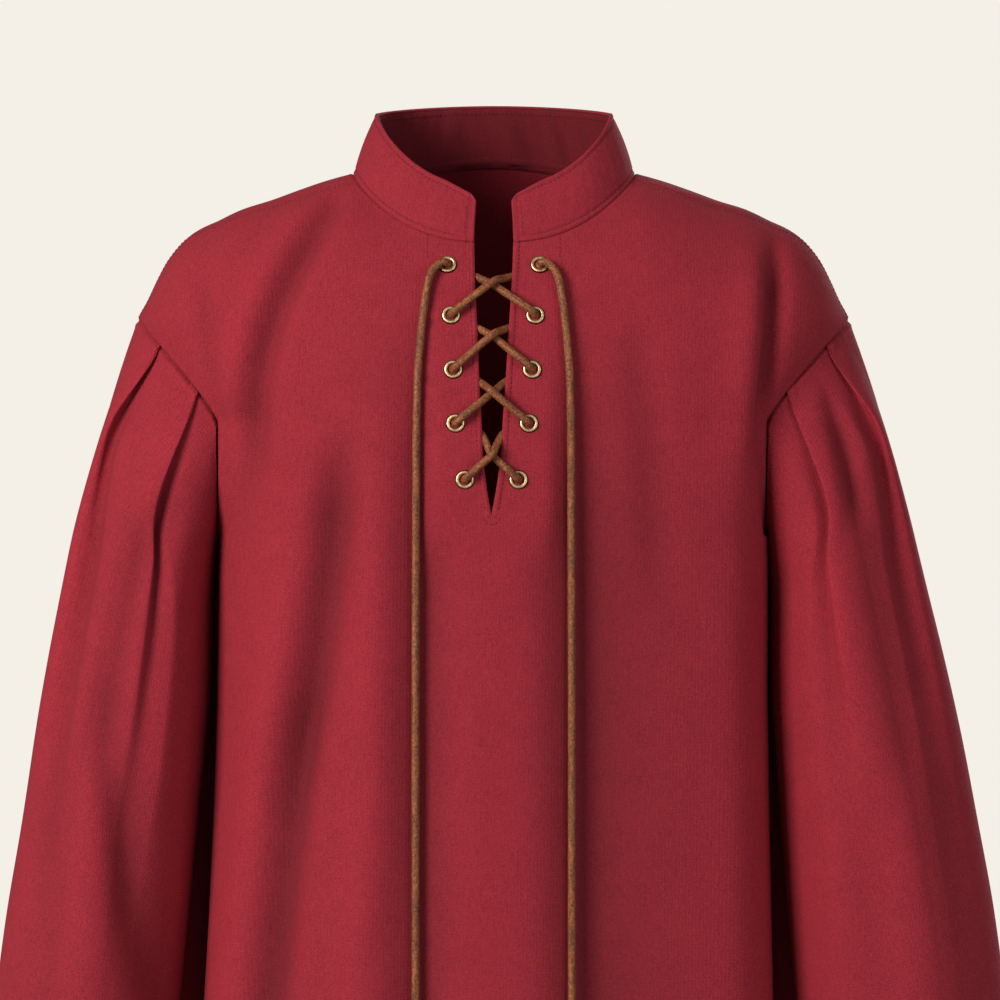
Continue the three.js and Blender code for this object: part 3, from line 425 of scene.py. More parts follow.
def yoke_place(u, v, front):
    """x and length up, for a place in the fan from the neck (v 0) to armhole and underarm."""
    def flat(point):
        return np.stack([point[..., 0], length_up(point, front)], axis=-1)

    def inner(share):
        return flat(neck_edge(share, front))

    def outer(share):
        depth = CHEST_DEPTH if front else BACK_DEPTH
        hem = section_x(ARMHOLE_X + ARMHOLE_TUCK, depth, np.clip(share / HEM_SHARE, 0, 1))
        low = np.stack([hem, np.zeros(share.shape)], axis=-1)
        turn = np.clip(1 - (share - HEM_SHARE) / (1 - HEM_SHARE), 0, 1)
        return np.where((share <= HEM_SHARE)[..., None], low, flat(armhole_edge(turn, front)))

    def middle(share):
        top = inner(np.float64(0))[1]
        end = SLIT_END - UNDERARM_Z if front else top / 11
        up = np.where(share < SLIT_ROW, mix(top, end, share / SLIT_ROW), end * (1 - share) * 11)
        if not front:
            return np.stack([np.zeros(up.shape), up], axis=-1)
        z = plain_body(np.float64(0), up, True)[..., 2]
        half = read(SLIT, "z", "half", z) * (share < SLIT_ROW - 1e-6)
        return np.stack([half, up], axis=-1)

    def seam(share):
        return flat(seam_point(share))

    zero, one = np.float64(0), np.float64(1)
    u2, v2 = u[..., None], v[..., None]
    sides = mix(inner(u), outer(u), v2) + mix(middle(v), seam(v), u2)
    near = mix(inner(zero), outer(zero), v2)
    far = mix(inner(one), outer(one), v2)
    return sides - mix(near, far, u2)


# ---- Relief of seams and edges ----
def edge_distance(points, edge):
    """Distance of each point from a line of points, drawn four times finer."""
    at = np.linspace(0, len(edge) - 1, 4 * len(edge))
    fine = np.stack([np.interp(at, np.arange(len(edge)), edge[:, k]) for k in range(3)], axis=-1)
    gap = points[..., None, :] - fine
    return np.sqrt((gap * gap).sum(axis=-1)).min(axis=-1)


def seam_relief(distance):
    """Cloth sinks at a seam and stands a little proud beside it."""
    return 0.45 * np.exp(-((distance - 3.4) / 1.9) ** 2) - 1.0 * np.exp(-(distance / 1.5) ** 2)


def hem_relief(distance):
    """The turned hem is thicker up to its line of stitches."""
    return (0.45 * (1 - smooth(HEM_TURN - 1, HEM_TURN + 2.5, distance))
            - 0.5 * np.exp(-((distance - HEM_TURN) / 1.3) ** 2))


def pucker(along, pitch, strength):
    """Uneven small waves along a line of stitches."""
    swell = 0.6 + 0.4 * np.sin(along / pitch * 1.31 + 1) * np.sin(along / pitch * 0.37)
    return strength * swell * np.sin(2 * math.pi * along / pitch + 1.4 * np.sin(along / pitch * 0.9))


def slit_relief(x, z):
    """Rounded edge of the neck slit, with its line of stitches drawn in."""
    distance = np.abs(x) - read(SLIT, "z", "half", z)
    edge = 0.35 - 0.9 * np.exp(-(distance / 0.9) ** 2) - 0.75 * smooth(2.8, 4.4, distance)
    edge = edge + 0.4 * smooth(4.4, 9, distance)
    waves = pucker(z, 7.5, 0.24) * np.exp(-((distance - 4) / 3.5) ** 2)
    return (edge + waves) * smooth(SLIT_END - 8, SLIT_END + 4, z)


# ---- Meshes ----
def spaced(*stretches):
    """Grid lines: (end, count) stretches from 0, each evenly divided."""
    lines = [0.0]
    for end, count in stretches:
        start = lines[-1]
        lines += [start + (end - start) * k / count for k in range(1, count + 1)]
    return np.array(lines)


def grid(bm, columns, rows):
    """A bmesh grid's vertices as rows of columns, to be shaped afterwards."""
    made = bmesh.ops.create_grid(bm, x_segments=columns, y_segments=rows, size=1)["verts"]
    made.sort(key=lambda v: (round(v.co.y, 6), round(v.co.x, 6)))
    return [made[k * (columns + 1):(k + 1) * (columns + 1)] for k in range(rows + 1)]


def put(bm, lines, points, flat, height=None):
    """Moves grid vertices to points; writes their flat place and the fold's height into UV maps."""
    if height is None:
        height = np.zeros((len(lines), len(lines[0])))
    layers = bm.loops.layers.uv
    for name in ("Cloth", "Fold"):
        if layers.get(name) is None:
            layers.new(name)
    cloth, fold = layers["Cloth"], layers["Fold"]
    for line, spots, flats, heights in zip(lines, points, flat, height):
        for vert, spot, uv, rise in zip(line, spots, flats, heights):
            vert.co = Vector(spot) * MM
            for loop in vert.link_loops:
                loop[cloth].uv = (uv[0] * MM, uv[1] * MM)
                loop[fold].uv = (0.5 + rise / FOLD_SPAN, 0.5)


def piece(name, bm, material):
    """A smooth object from a bmesh, riding on the only body."""
    mesh = bpy.data.meshes.new(name)
    bm.to_mesh(mesh)
    bm.free()
    obj = bpy.data.objects.new(name, mesh)
    bpy.context.scene.collection.objects.link(obj)
    mesh.materials.append(material)
    mesh.shade_smooth()
    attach(obj, "root")
    return obj


def thicken(obj, thickness):
    """A wall inwards; plain offset, as an even one throws spikes where a pleat folds tight."""
    wall = obj.modifiers.new("wall", "SOLIDIFY")
    wall.thickness = thickness * MM
    wall.offset = -1
    return obj


def round_edges(obj, width):
    edge = obj.modifiers.new("edge", "BEVEL")
    edge.width = width * MM
    edge.segments = 3
    edge.limit_method = "ANGLE"
    edge.angle_limit = math.radians(60)
    return obj


# ---- Materials ----
def linear(code):
    """sRGB hex to linear colour."""
    parts = [int(code[k:k + 2], 16) / 255 for k in (1, 3, 5)]
    return tuple(c / 12.92 if c <= 0.04045 else ((c + 0.055) / 1.055) ** 2.4 for c in parts) + (1,)


def node(tree, kind, settings=None, links=None):
    """Adds a node, with its properties, input values and links from other nodes' sockets."""
    made = tree.nodes.new(kind)
    for name, value in (settings or {}).items():
        if isinstance(name, str) and hasattr(made, name):
            setattr(made, name, value)
        else:
            made.inputs[name].default_value = value
    for name, source in (links or {}).items():
        tree.links.new(source, made.inputs[name])
    return made


def blank(name):
    material = bpy.data.materials.new(name)
    material.use_nodes = True
    material.node_tree.nodes.clear()
    return material, material.node_tree


def ramp(tree, value, stops):
    """Colour ramp over a value, from rising (position, sRGB hex) stops."""
    made = node(tree, "ShaderNodeValToRGB", {}, {"Fac": value})
    elements = made.color_ramp.elements
    for k, (position, code) in enumerate(stops):
        element = elements[k] if k < 2 else elements.new(position)
        element.position = position
        element.color = linear(code)
    return made.outputs["Color"]


def canvas(name, deep, light):
    """Cotton canvas: a fine speckled weave and faint slubs, with painted shade by the height of its
    folds: darker down in troughs and sunken seams, a little lighter on ridges.
    """
    material, tree = blank(name)
    uv = node(tree, "ShaderNodeUVMap", {"uv_map": "Cloth"}).outputs["UV"]
    place = node(tree, "ShaderNodeTexCoord").outputs["Object"]
    # Threads are 0.6 mm apart; drawn at 1.2 mm so that they still read from a step away.
    threads = []
    for bands in ("X", "Y"):
        wave = node(tree, "ShaderNodeTexWave",
                    {"wave_type": "BANDS", "bands_direction": bands, "Scale": 1 / 0.0012 / 6.2832,
                     "Distortion": 2.0, "Detail": 2.0, "Detail Scale": 3.0}, {"Vector": uv})
        threads.append(wave.outputs["Fac"])
    weave = node(tree, "ShaderNodeMath", {"operation": "MULTIPLY"},
                 {0: threads[0], 1: threads[1]}).outputs["Value"]
    speckle = node(tree, "ShaderNodeTexNoise", {"Scale": 900.0, "Detail": 3.0, "Roughness": 0.7},
                   {"Vector": place}).outputs["Fac"]
    stretch = node(tree, "ShaderNodeMapping", {"Scale": (1.0, 0.15, 1.0)}, {"Vector": uv})
    slub = node(tree, "ShaderNodeTexNoise", {"Scale": 700.0, "Detail": 2.0, "Roughness": 0.5},
                {"Vector": stretch.outputs["Vector"]}).outputs["Fac"]
    mottle = node(tree, "ShaderNodeTexNoise", {"Scale": 38.0, "Detail": 5.0, "Roughness": 0.65},
                  {"Vector": place}).outputs["Fac"]
    fine = node(tree, "ShaderNodeMix", {"data_type": "FLOAT", 0: 0.2},
                {2: speckle, 3: slub}).outputs[0]
    blend = node(tree, "ShaderNodeMix", {"data_type": "FLOAT", 0: 0.12},
                 {2: fine, 3: mottle}).outputs[0]
    dye = ramp(tree, blend, ((0.34, deep), (0.68, light)))
    fold = node(tree, "ShaderNodeUVMap", {"uv_map": "Fold"}).outputs["UV"]
    rise = node(tree, "ShaderNodeSeparateXYZ", {}, {"Vector": fold}).outputs["X"]
    # Painted shade: the colour is darkened by the fold's height, most in the troughs, and lightened a
    # little on the ridges.
    wear_and_painted_shade = ramp(tree, rise, ((0.12, "#bcbcbc"), (0.48, "#f2f2f2"), (0.66, "#ffffff")))
    colour = node(tree, "ShaderNodeVectorMath", {"operation": "MULTIPLY"},
                  {0: dye, 1: wear_and_painted_shade}).outputs["Vector"]
    height = node(tree, "ShaderNodeMath", {"operation": "MULTIPLY_ADD", 1: 0.7},
                  {0: speckle, 2: weave}).outputs["Value"]
    bump = node(tree, "ShaderNodeBump", {"Strength": 0.45, "Distance": 0.0003}, {"Height": height})
    shader = node(tree, "ShaderNodeBsdfPrincipled",
                  {"Roughness": 0.9, "IOR": 1.5, "Specular IOR Level": 0.3, "Sheen Weight": 0.12,
                   "Sheen Roughness": 0.5, "Sheen Tint": linear("#c9505c")},
                  {"Base Color": colour, "Normal": bump.outputs["Normal"]})
    node(tree, "ShaderNodeOutputMaterial", {}, {"Surface": shader.outputs["BSDF"]})
    return material


def leather():
    """Round leather cord: a rough grain of tan on brown, darker in its pores."""
    material, tree = blank("round leather cord")
    uv = node(tree, "ShaderNodeUVMap", {"uv_map": "Cloth"}).outputs["UV"]
    place = node(tree, "ShaderNodeTexCoord").outputs["Object"]
    grain = node(tree, "ShaderNodeTexNoise", {"Scale": 620.0, "Detail": 4.0, "Roughness": 0.75},
                 {"Vector": place}).outputs["Fac"]
    long = node(tree, "ShaderNodeMapping", {"Scale": (1.0, 0.2, 1.0)}, {"Vector": uv})
    streak = node(tree, "ShaderNodeTexNoise", {"Scale": 260.0, "Detail": 2.0},
                  {"Vector": long.outputs["Vector"]}).outputs["Fac"]
    both = node(tree, "ShaderNodeMix", {"data_type": "FLOAT", 0: 0.25},
                {2: grain, 3: streak}).outputs[0]
    colour = ramp(tree, both, ((0.4, "#4a2513"), (0.54, "#8f5029"), (0.66, "#b8733f")))
    bump = node(tree, "ShaderNodeBump", {"Strength": 0.6, "Distance": 0.0004}, {"Height": grain})
    shader = node(tree, "ShaderNodeBsdfPrincipled", {"Roughness": 0.62, "IOR": 1.5},
                  {"Base Color": colour, "Normal": bump.outputs["Normal"]})
    node(tree, "ShaderNodeOutputMaterial", {}, {"Surface": shader.outputs["BSDF"]})
    return material


def brass(name, worn, dull, roughness):
    """Antique brass: worn bright in spots, dull brown between them."""
    material, tree = blank(name)
    place = node(tree, "ShaderNodeTexCoord").outputs["Object"]
    wear_and_painted_shade = node(tree, "ShaderNodeTexNoise", {"Scale": 420.0, "Detail": 3.0, "Roughness": 0.6},
                {"Vector": place}).outputs["Fac"]
    shader = node(tree, "ShaderNodeBsdfPrincipled", {"Metallic": 1.0, "Roughness": roughness},
                  {"Base Color": ramp(tree, wear_and_painted_shade, ((0.36, dull), (0.56, worn)))})
    node(tree, "ShaderNodeOutputMaterial", {}, {"Surface": shader.outputs["BSDF"]})
    return material


def plain(name, code, roughness):
    material, tree = blank(name)
    shader = node(tree, "ShaderNodeBsdfPrincipled",
                  {"Base Color": linear(code), "Roughness": roughness, "IOR": 1.5})
    node(tree, "ShaderNodeOutputMaterial", {}, {"Surface": shader.outputs["BSDF"]})
    return material


CANVAS = canvas("cotton canvas", "#82192a", "#b33040")
# A darker copy of the canvas, for painted shade inside the band, where little light reaches.
CANVAS_SHADED_INSIDE = canvas("cotton canvas, painted shade inside the band", "#5e0f1c", "#7e1a28")
LEATHER = leather()
BRASS = brass("antique brass", "#efdcb0", "#c4a56c", 0.45)
BRASS_DARK = brass("antique brass, dulled rim", "#5c4322", "#38250f", 0.55)
THREAD = plain("cotton thread", "#701522", 0.8)


# ---- Body panels ----
YOKE_COLUMNS = spaced((0.35, 5), (12, 56), (20.6, 54), (21, 6)) / 21
YOKE_ROWS = spaced((0.35, 6), (10.65, 58), (11, 6)) / 11
LOW_ROWS = spaced((0.01, 3), (0.962, 98), (0.978, 6), (1, 3))


def folded(x, up, front, relief, to_seam):
    """Cloth of a panel with its folds and relief, and the height of both together."""
    calm = 1 - smooth(2, CALM_SEAM, to_seam)
    z = plain_body(x, up, front)[..., 2]
    return body_cloth(x, up, front, relief, calm), body_folds(x, z, front, calm) + relief


def face_outward(bm, outward):
    """Turns every face the same way round, so that those paired with a direction look along it."""
    bmesh.ops.recalc_face_normals(bm, faces=bm.faces)
    if sum(direction.dot(face.normal) for face, direction in outward) < 0:
        bmesh.ops.reverse_faces(bm, faces=bm.faces)


def half_panel(bm, side, front):
    """Half of a panel: the fan from neck to armhole and underarm, then the rows down to the hem."""
    hem = int(np.argmin(np.abs(YOKE_COLUMNS - HEM_SHARE)))
    down = len(YOKE_ROWS) - 1
    lines = grid(bm, len(YOKE_COLUMNS) - 1, down + len(LOW_ROWS) - 1)
    u, v = np.meshgrid(YOKE_COLUMNS, YOKE_ROWS)
    place = yoke_place(u, v, front)
    x, up = side * place[..., 0], place[..., 1]
    bare = plain_body(x, up, front)
    to_seam = np.minimum.reduce([edge_distance(bare, edge) for edge in
                                 (bare[0], bare[:, -1], bare[-1, hem:])])
    relief = seam_relief(to_seam)
    if front:
        relief = relief + slit_relief(x, bare[..., 2])
    upper, upper_folds = folded(x, up, front, relief, to_seam)
    z = mix(UNDERARM_Z, HEM_Z, LOW_ROWS[1:])
    share = YOKE_COLUMNS[:hem + 1] / HEM_SHARE
    half, depth = read(BODY, "z", "half", z), read(BODY, "z", "front" if front else "back", z)
    x_low = side * np.array([section_x(h, d, share) for h, d in zip(half, depth)])
    up_low = np.repeat((z - UNDERARM_Z)[:, None], hem + 1, axis=1)
    bare = plain_body(x_low, up_low, front)
    to_seam = np.linalg.norm(bare - bare[:, -1:], axis=-1)
    relief = seam_relief(to_seam) + hem_relief(z - HEM_Z)[:, None]
    lower, lower_folds = folded(x_low, up_low, front, relief, to_seam)
    for line in lines[down + 1:]:
        for vert in line[hem + 1:]:
            bm.verts.remove(vert)
    put(bm, lines[:down + 1], upper, np.stack([x, up], axis=-1), upper_folds)
    put(bm, [line[:hem + 1] for line in lines[down + 1:]], lower, np.stack([x_low, up_low], axis=-1),
        lower_folds)


def body_panel(name, front, node_name):
    bm = bmesh.new()
    for side in (1, -1):
        half_panel(bm, side, front)
    bmesh.ops.remove_doubles(bm, verts=bm.verts, dist=0.05 * MM)
    outward = Vector((0, -1 if front else 1, 0))
    face_outward(bm, [(f, outward) for f in bm.faces])
    obj = piece(name, bm, CANVAS)
    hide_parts(node_name)
    return round_edges(thicken(obj, WALL), 0.45)


# ---- Sleeves ----
# Section of a knife pleat at distances down from the seam: across it, and how far it stands up.
PLEAT_DOWN = (0, 20, 60, 150, 330, 541)
PLEAT_ACROSS = (
    (-24, -28, -34, -36, -38, -38),
    (-15, -17, -18, -22, -28, -30),
    (-6, -7, -8, -10, -14, -15),
    (-1, -1, -2, -3, -4, -5),
    (0, 0, 0, 1.5, 4, 5),
    (-1.2, -0.6, 0.2, 4.5, 10, 12),
    (-6, -5, -3, 7, 16, 18),
    (-7, -6, -2, 11, 22, 24),
    (-6, -2, 4, 17, 29, 32),
    (7, 11, 16, 30, 36, 38),
)
PLEAT_UP = (
    (0, 0, 0, 0, 0, 0),
    (0.7, 1.8, 2.6, 2.8, 1.4, 0.4),
    (1.4, 3.2, 5.2, 5, 2, 0.6),
    (1.7, 3.8, 6.2, 5.4, 1.6, 0.4),
    (1.6, 3.4, 5.8, 3.8, 0.8, 0.2),
    (1.2, 2.6, 4, 0.2, -0.4, 0),
    (1.0, 1.4, 0.6, -3.6, -1.2, 0),
    (0.6, 0.2, -2.8, -5.6, -1.4, 0),
    (0.1, -0.6, -3.8, -4.6, -1, 0),
    (0, 0, 0, 0, 0, 0),
)
PLEATS = ((44, 33), (73, 98), (-73, -92), (-44, -36))


def spline(rows, fine):
    """Rows of numbers, run through smoothly with fine steps in each stretch."""
    rows = np.asarray(rows, float)
    made = []
    for k in range(len(rows) - 1):
        a, b, c, d = (rows[np.clip(k + n, 0, len(rows) - 1)] for n in (-1, 0, 1, 2))
        for t in np.arange(fine) / fine:
            made.append(0.5 * (2 * b + (c - a) * t + (2 * a - 5 * b + 4 * c - d) * t * t
                               + (3 * b - a - 3 * c + d) * t ** 3))
    return np.array(made + [rows[-1]])


def beside_body(angle):
    """Share of the ring, behind the arm, that lies against the body's side."""
    turn = np.degrees(angle % (2 * math.pi))
    return smooth(186, 205, turn) * (1 - smooth(232, 265, turn))


def body_side(y, z, side):
    half, depth = read(BODY, "z", "half", z), read(BODY, "z", "back", z)
    return half * square_arc(y / depth) + side * lean(z) + SLEEVE_REST


def sleeve_base(angle, down, side):
    outer_z = ARMHOLE_MID + ARMHOLE_RISE - OUTER_DROP * down
    inner_z = UNDERARM_Z - INNER_DROP * down
    sway = side * SLEEVE_SWAY * smooth(-200, -533, outer_z)
    outer_x = read(SLEEVE_OUTER, "z", "x", outer_z) + sway
    inner_x = read(BODY, "z", "half", inner_z) + side * lean(inner_z)
    inner_x = inner_x + read(SLEEVE_CLEAR, "z", "gap", inner_z)
    depth = read(SLEEVE_RING, "down", "depth", down)
    forward = read(SLEEVE_RING, "down", "forward", down)
    reach = 0.5 + np.cos(angle) / 2
    y = -forward - depth * np.sin(angle)
    z = mix(inner_z, outer_z, reach)
    lie = beside_body(angle) * smooth(0, 0.12, down)
    return np.stack([mix(mix(inner_x, outer_x, reach), body_side(y, z, side), lie), y, z], axis=-1)


def sleeve_form(angle, down, side):
    """Plain sleeve cloth, taking off from the armhole; x grows away from the body."""
    angle, down = np.broadcast_arrays(angle, down)
    z = armhole_z(angle)
    depth = armhole_depth(z) * np.sign(np.sin(angle))
    seam = np.stack([armhole_x(z) + side * lean(z), -depth, z], axis=-1)
    shift = seam - sleeve_base(angle, np.zeros(angle.shape), side)
    hold = 1 - smooth(0, 0.15, down)
    return sleeve_base(angle, down, side) + shift * hold[..., None]


def sleeve_ring(down):
    """Angles round one ring of the sleeve, and how far the pleated cloth stands up there."""
    drop = OUTER_DROP * down
    across = spline([[np.interp(drop, PLEAT_DOWN, row)] for row in PLEAT_ACROSS], 4)[:, 0]
    up = spline([[np.interp(drop, PLEAT_DOWN, row)] for row in PLEAT_UP], 4)[:, 0]
    fronts = []
    for at_seam, below in PLEATS:
        centre = math.radians(mix(at_seam, below, smooth(0, 0.2, down)))
        sign = 1 if at_seam > 0 else -1
        angles, rises = centre + sign * across / PLEAT_RADIUS, up
        fronts.append((angles, rises) if sign > 0 else (angles[::-1] + 2 * math.pi, rises[::-1]))
    angles, rises = [], []

    def stretch(start, end, count):
        angles.append(start + (end - start) * np.arange(1, count) / count)
        rises.append(np.zeros(count - 1))
    for k, count in ((0, 8), (1, 40), (2, 6)):
        angles.append(fronts[k][0])
        rises.append(fronts[k][1])
        stretch(fronts[k][0][-1], fronts[k + 1][0][0], count)
    angles.append(fronts[3][0])
    rises.append(fronts[3][1])
    stretch(fronts[3][0][-1], fronts[0][0][0] + 2 * math.pi, 12)
    return np.concatenate(angles), np.concatenate(rises)


SLEEVE_LINES = spaced((0.012, 6), (0.12, 26), (0.962, 84), (0.98, 6), (1, 3))


def sleeve_folds(angle, form, side):
    """Height of the soft folds, each table fading where the cloth turns away from its side."""
    facing = np.sin(angle)
    ahead = fold_height(SLEEVE_FOLDS[side], form[..., 0], form[..., 2])
    behind = fold_height(SLEEVE_BACK_FOLDS, form[..., 0], form[..., 2])
    return ahead * smooth(0, 0.5, facing) + behind * smooth(0, 0.5, -facing)


def sleeve(name, side, node_name):
    """A pleated sleeve; also gives its points, ring by ring, for the stitches to follow."""
    rings = [sleeve_ring(down) for down in SLEEVE_LINES]
    angle = np.array([r[0] for r in rings])
    rise = np.array([r[1] for r in rings])
    down = np.repeat(SLEEVE_LINES[:, None], angle.shape[1], axis=1)
    form = sleeve_form(angle, down, side)
    around = sleeve_form(angle + 0.02, down, side) - sleeve_form(angle - 0.02, down, side)
    below = sleeve_form(angle, down + 0.02, side) - form
    normal = np.cross(around, below)
    normal /= np.linalg.norm(normal, axis=-1, keepdims=True)
    drop = down * OUTER_DROP
    folds = sleeve_folds(angle, form, side) * smooth(10, 60, drop)
    relief = seam_relief(drop) + hem_relief(OUTER_DROP - drop)
    relief = relief + pucker(angle * PLEAT_RADIUS, 8.5, 0.32) * np.exp(-drop / 8)
    height = rise + folds + relief
    point = form + normal * height[..., None]
    off = below[0] / np.linalg.norm(below[0], axis=-1, keepdims=True)
    tuck = point[0] - off * 3.4 - normal[0] * (1.5 + np.maximum(0, rise[0]))[:, None]
    point = np.concatenate([tuck[None], point])
    point[..., 0] *= side
    flat = np.stack([angle * FLAT_RADIUS, -drop], axis=-1)
    flat = np.concatenate([flat[:1] + (0, 3.4), flat])
    bm = bmesh.new()
    lines = grid(bm, angle.shape[1], len(SLEEVE_LINES))
    close = np.concatenate([point, point[:, :1]], axis=1)
    last = flat[:, :1] + (2 * math.pi * FLAT_RADIUS, 0)
    height = np.concatenate([height[:1], height])
    height = np.concatenate([height, height[:, :1]], axis=1)
    put(bm, lines, close, np.concatenate([flat, last], axis=1), height)
    bmesh.ops.remove_doubles(bm, verts=bm.verts, dist=0.01 * MM)
    lowest = [f for f in bm.faces if f.calc_center_median().z < -0.5]
    middle = sum((f.calc_center_median() for f in lowest), Vector()) / len(lowest)
    face_outward(bm, [(f, f.calc_center_median() - middle) for f in lowest])
    obj = piece(name, bm, CANVAS)
    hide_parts(node_name)
    return thicken(obj, WALL), point


# ---- Collar ----
def collar_point(along, height_share, out=0.0):
    """Collar band: along from one front corner (-1) round the nape (0) to the other (1)."""
    side = np.where(along < 0, -1.0, 1.0)
    turn = np.abs(along) * 2
    behind = neck_edge(np.clip(turn, 0, 1), False)
    before = neck_edge(np.clip(2 - turn, 0, 1), True)
    base = np.where((turn < 1)[..., None], behind, before) * np.stack(
        [side, np.ones(side.shape), np.ones(side.shape)], axis=-1)
    to_front = np.clip(-base[..., 1] / NECK_FRONT, 0, 1)
    arc = np.sqrt(np.clip(1 - (base[..., 0] / NECK_HALF) ** 2, 0, 1))
    rim = COLLAR_RIM + COLLAR_RIM_RISE * arc
    height = np.where(base[..., 1] > 0, rim - base[..., 2],
                      mix(COLLAR_SIDE, COLLAR_FRONT, to_front))
    from_edge = np.where(base[..., 1] < -NECK_FRONT * 0.7, np.abs(base[..., 0]) - SLIT_TOP, 99)
    slope = np.clip(1 - from_edge / COLLAR_CORNER, 0, 1)
    off = np.clip(1 - from_edge / COLLAR_ROUND, 0, 0.9)
    cut = COLLAR_CUT * slope ** 1.6 + COLLAR_ROUND * (1 - np.sqrt(1 - off * off)) * 0.9
    share = height_share * (1 - cut / height)
    scale = mix(1, COLLAR_TAPER, share) * (
        1 + (COLLAR_BULGE * np.sin(math.pi * share) + out) / np.hypot(base[..., 0], base[..., 1]))
    return np.stack([base[..., 0] * scale, base[..., 1] * scale,
                     base[..., 2] + COLLAR_GAP + height * share], axis=-1)


def collar_relief(along, share, length):
    """Stitch lines drawn in along the edges, and the ripples of the doubled band."""
    from_top = (1 - share) * COLLAR_SIDE
    from_base = share * COLLAR_SIDE
    from_end = (1 - np.abs(along)) * length
    relief = 0.5 * np.exp(-((from_top - 1.6) / 1.5) ** 2) + 0.4 * np.exp(-((from_base - 0.6) / 1.5) ** 2)
    for distance, at in ((from_top, COLLAR_STITCH), (from_base, BASE_STITCH), (from_end, COLLAR_STITCH)):
        relief = relief - 0.6 * np.exp(-((distance - at) / 0.9) ** 2)
        relief = relief + pucker(along * length, 7.3, 0.2) * np.exp(-((distance - at) / 3) ** 2)
    nape = 1 - smooth(0.2, 0.5, np.abs(along))
    slant = along * length + share * 9
    ripple = np.sin(slant / 2.6) * np.sin(slant / 9.7 + 0.6) + 0.6 * np.sin(slant / 4.3 + 2)
    middle = np.sin(math.pi * np.clip(share, 0, 1))
    relief = relief + middle * ripple * (0.14 + 0.95 * nape)
    relief = relief + 0.6 * middle * np.sin(along * 21 + 1) * np.sin(along * 6.3)
    return relief * smooth(0.5, 5, from_end)


def collar():
    along = np.concatenate([np.linspace(-1, -0.95, 14)[:-1], np.linspace(-0.95, 0.95, 300),
                            np.linspace(0.95, 1, 14)[1:]])
    height = spaced((0.02, 1), (0.16, 10), (0.82, 16), (1, 12))
    height[0] = -0.045
    s, h = np.meshgrid(along, height)
    bm = bmesh.new()
    lines = grid(bm, len(along) - 1, len(height) - 1)
    middle = collar_point(s, h, 0)
    length = np.cumsum(np.concatenate([[0], np.linalg.norm(np.diff(middle[0], axis=0), axis=1)]))
    relief = collar_relief(s, h, length[-1] / 2)
    point = collar_point(s, h, COLLAR_PROUD + relief)
    flat = np.stack([np.repeat(length[None], len(height), axis=0), h * COLLAR_SIDE], axis=-1)
    # The relief's height, scaled up, sets the painted shade in the band's troughs.
    put(bm, lines, point, flat, relief * COLLAR_PAINTED_SHADE_GAIN)
    face_outward(bm, [(f, f.calc_center_median() * Vector((1, 1, 0))) for f in bm.faces])
    obj = piece("collarBand", bm, CANVAS)
    # The inner wall takes the darker copy: painted shade inside the band.
    obj.data.materials.append(CANVAS_SHADED_INSIDE)
    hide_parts("collar")
    thicken(obj, COLLAR_WALL).modifiers["wall"].material_offset = 1
    return obj


# ---- Leather cord ----
def up_at(x, z):
    """Length up the front's cloth to a height."""
    ups = np.linspace(-528, ARCH[True][1][-1], 1801)
    return float(np.interp(z, plain_body(np.float64(x), ups, True)[:, 2], ups))


def over_front(x, z, out):
    """A point out from the front's cloth."""
    return body_cloth(np.float64(x), np.float64(up_at(x, z)), True, np.float64(out))


def cord_route(controls, step):
    """Even places along the smooth curve through the controls."""
    fine = spline(controls, 16)
    length = np.concatenate([[0], np.cumsum(np.linalg.norm(np.diff(fine, axis=0), axis=1))])
    count = max(2, int(length[-1] / step))
    at = np.linspace(0, length[-1], count + 1)
    return np.stack([np.interp(at, length, fine[:, k]) for k in range(3)], axis=1), length[-1]


def cord_tube(name, controls, step, nodes):
    """A round cord with closed ends along the smooth curve through its controls."""
    route, length = cord_route(controls, step)
    sides = 14
    tangent = np.gradient(route, axis=0)
    tangent /= np.linalg.norm(tangent, axis=1, keepdims=True)
    bm = bmesh.new()
    lines = grid(bm, sides, len(route) - 1)
    across = Vector(tangent[0]).orthogonal().normalized()
    before = Vector(tangent[0])
    points = []
    for spot, heading in zip(route, tangent):
        heading = Vector(heading)
        across = before.rotation_difference(heading) @ across
        before = heading
        other = heading.cross(across)
        turn = [2 * math.pi * k / sides for k in range(sides + 1)]
        points.append([Vector(spot) + (across * math.cos(a) + other * math.sin(a)) * CORD_RADIUS
                       for a in turn])
    along = np.linspace(0, length, len(route))
    flat = [[(CORD_RADIUS * 2 * math.pi * k / sides, a) for k in range(sides + 1)] for a in along]
    put(bm, lines, points, flat)
    bmesh.ops.remove_doubles(bm, verts=bm.verts, dist=0.01 * MM)
    bmesh.ops.holes_fill(bm, edges=bm.edges, sides=sides)
    bmesh.ops.recalc_face_normals(bm, faces=bm.faces)
    obj = piece(name, bm, LEATHER)
    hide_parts(*nodes)
    return obj, route, length


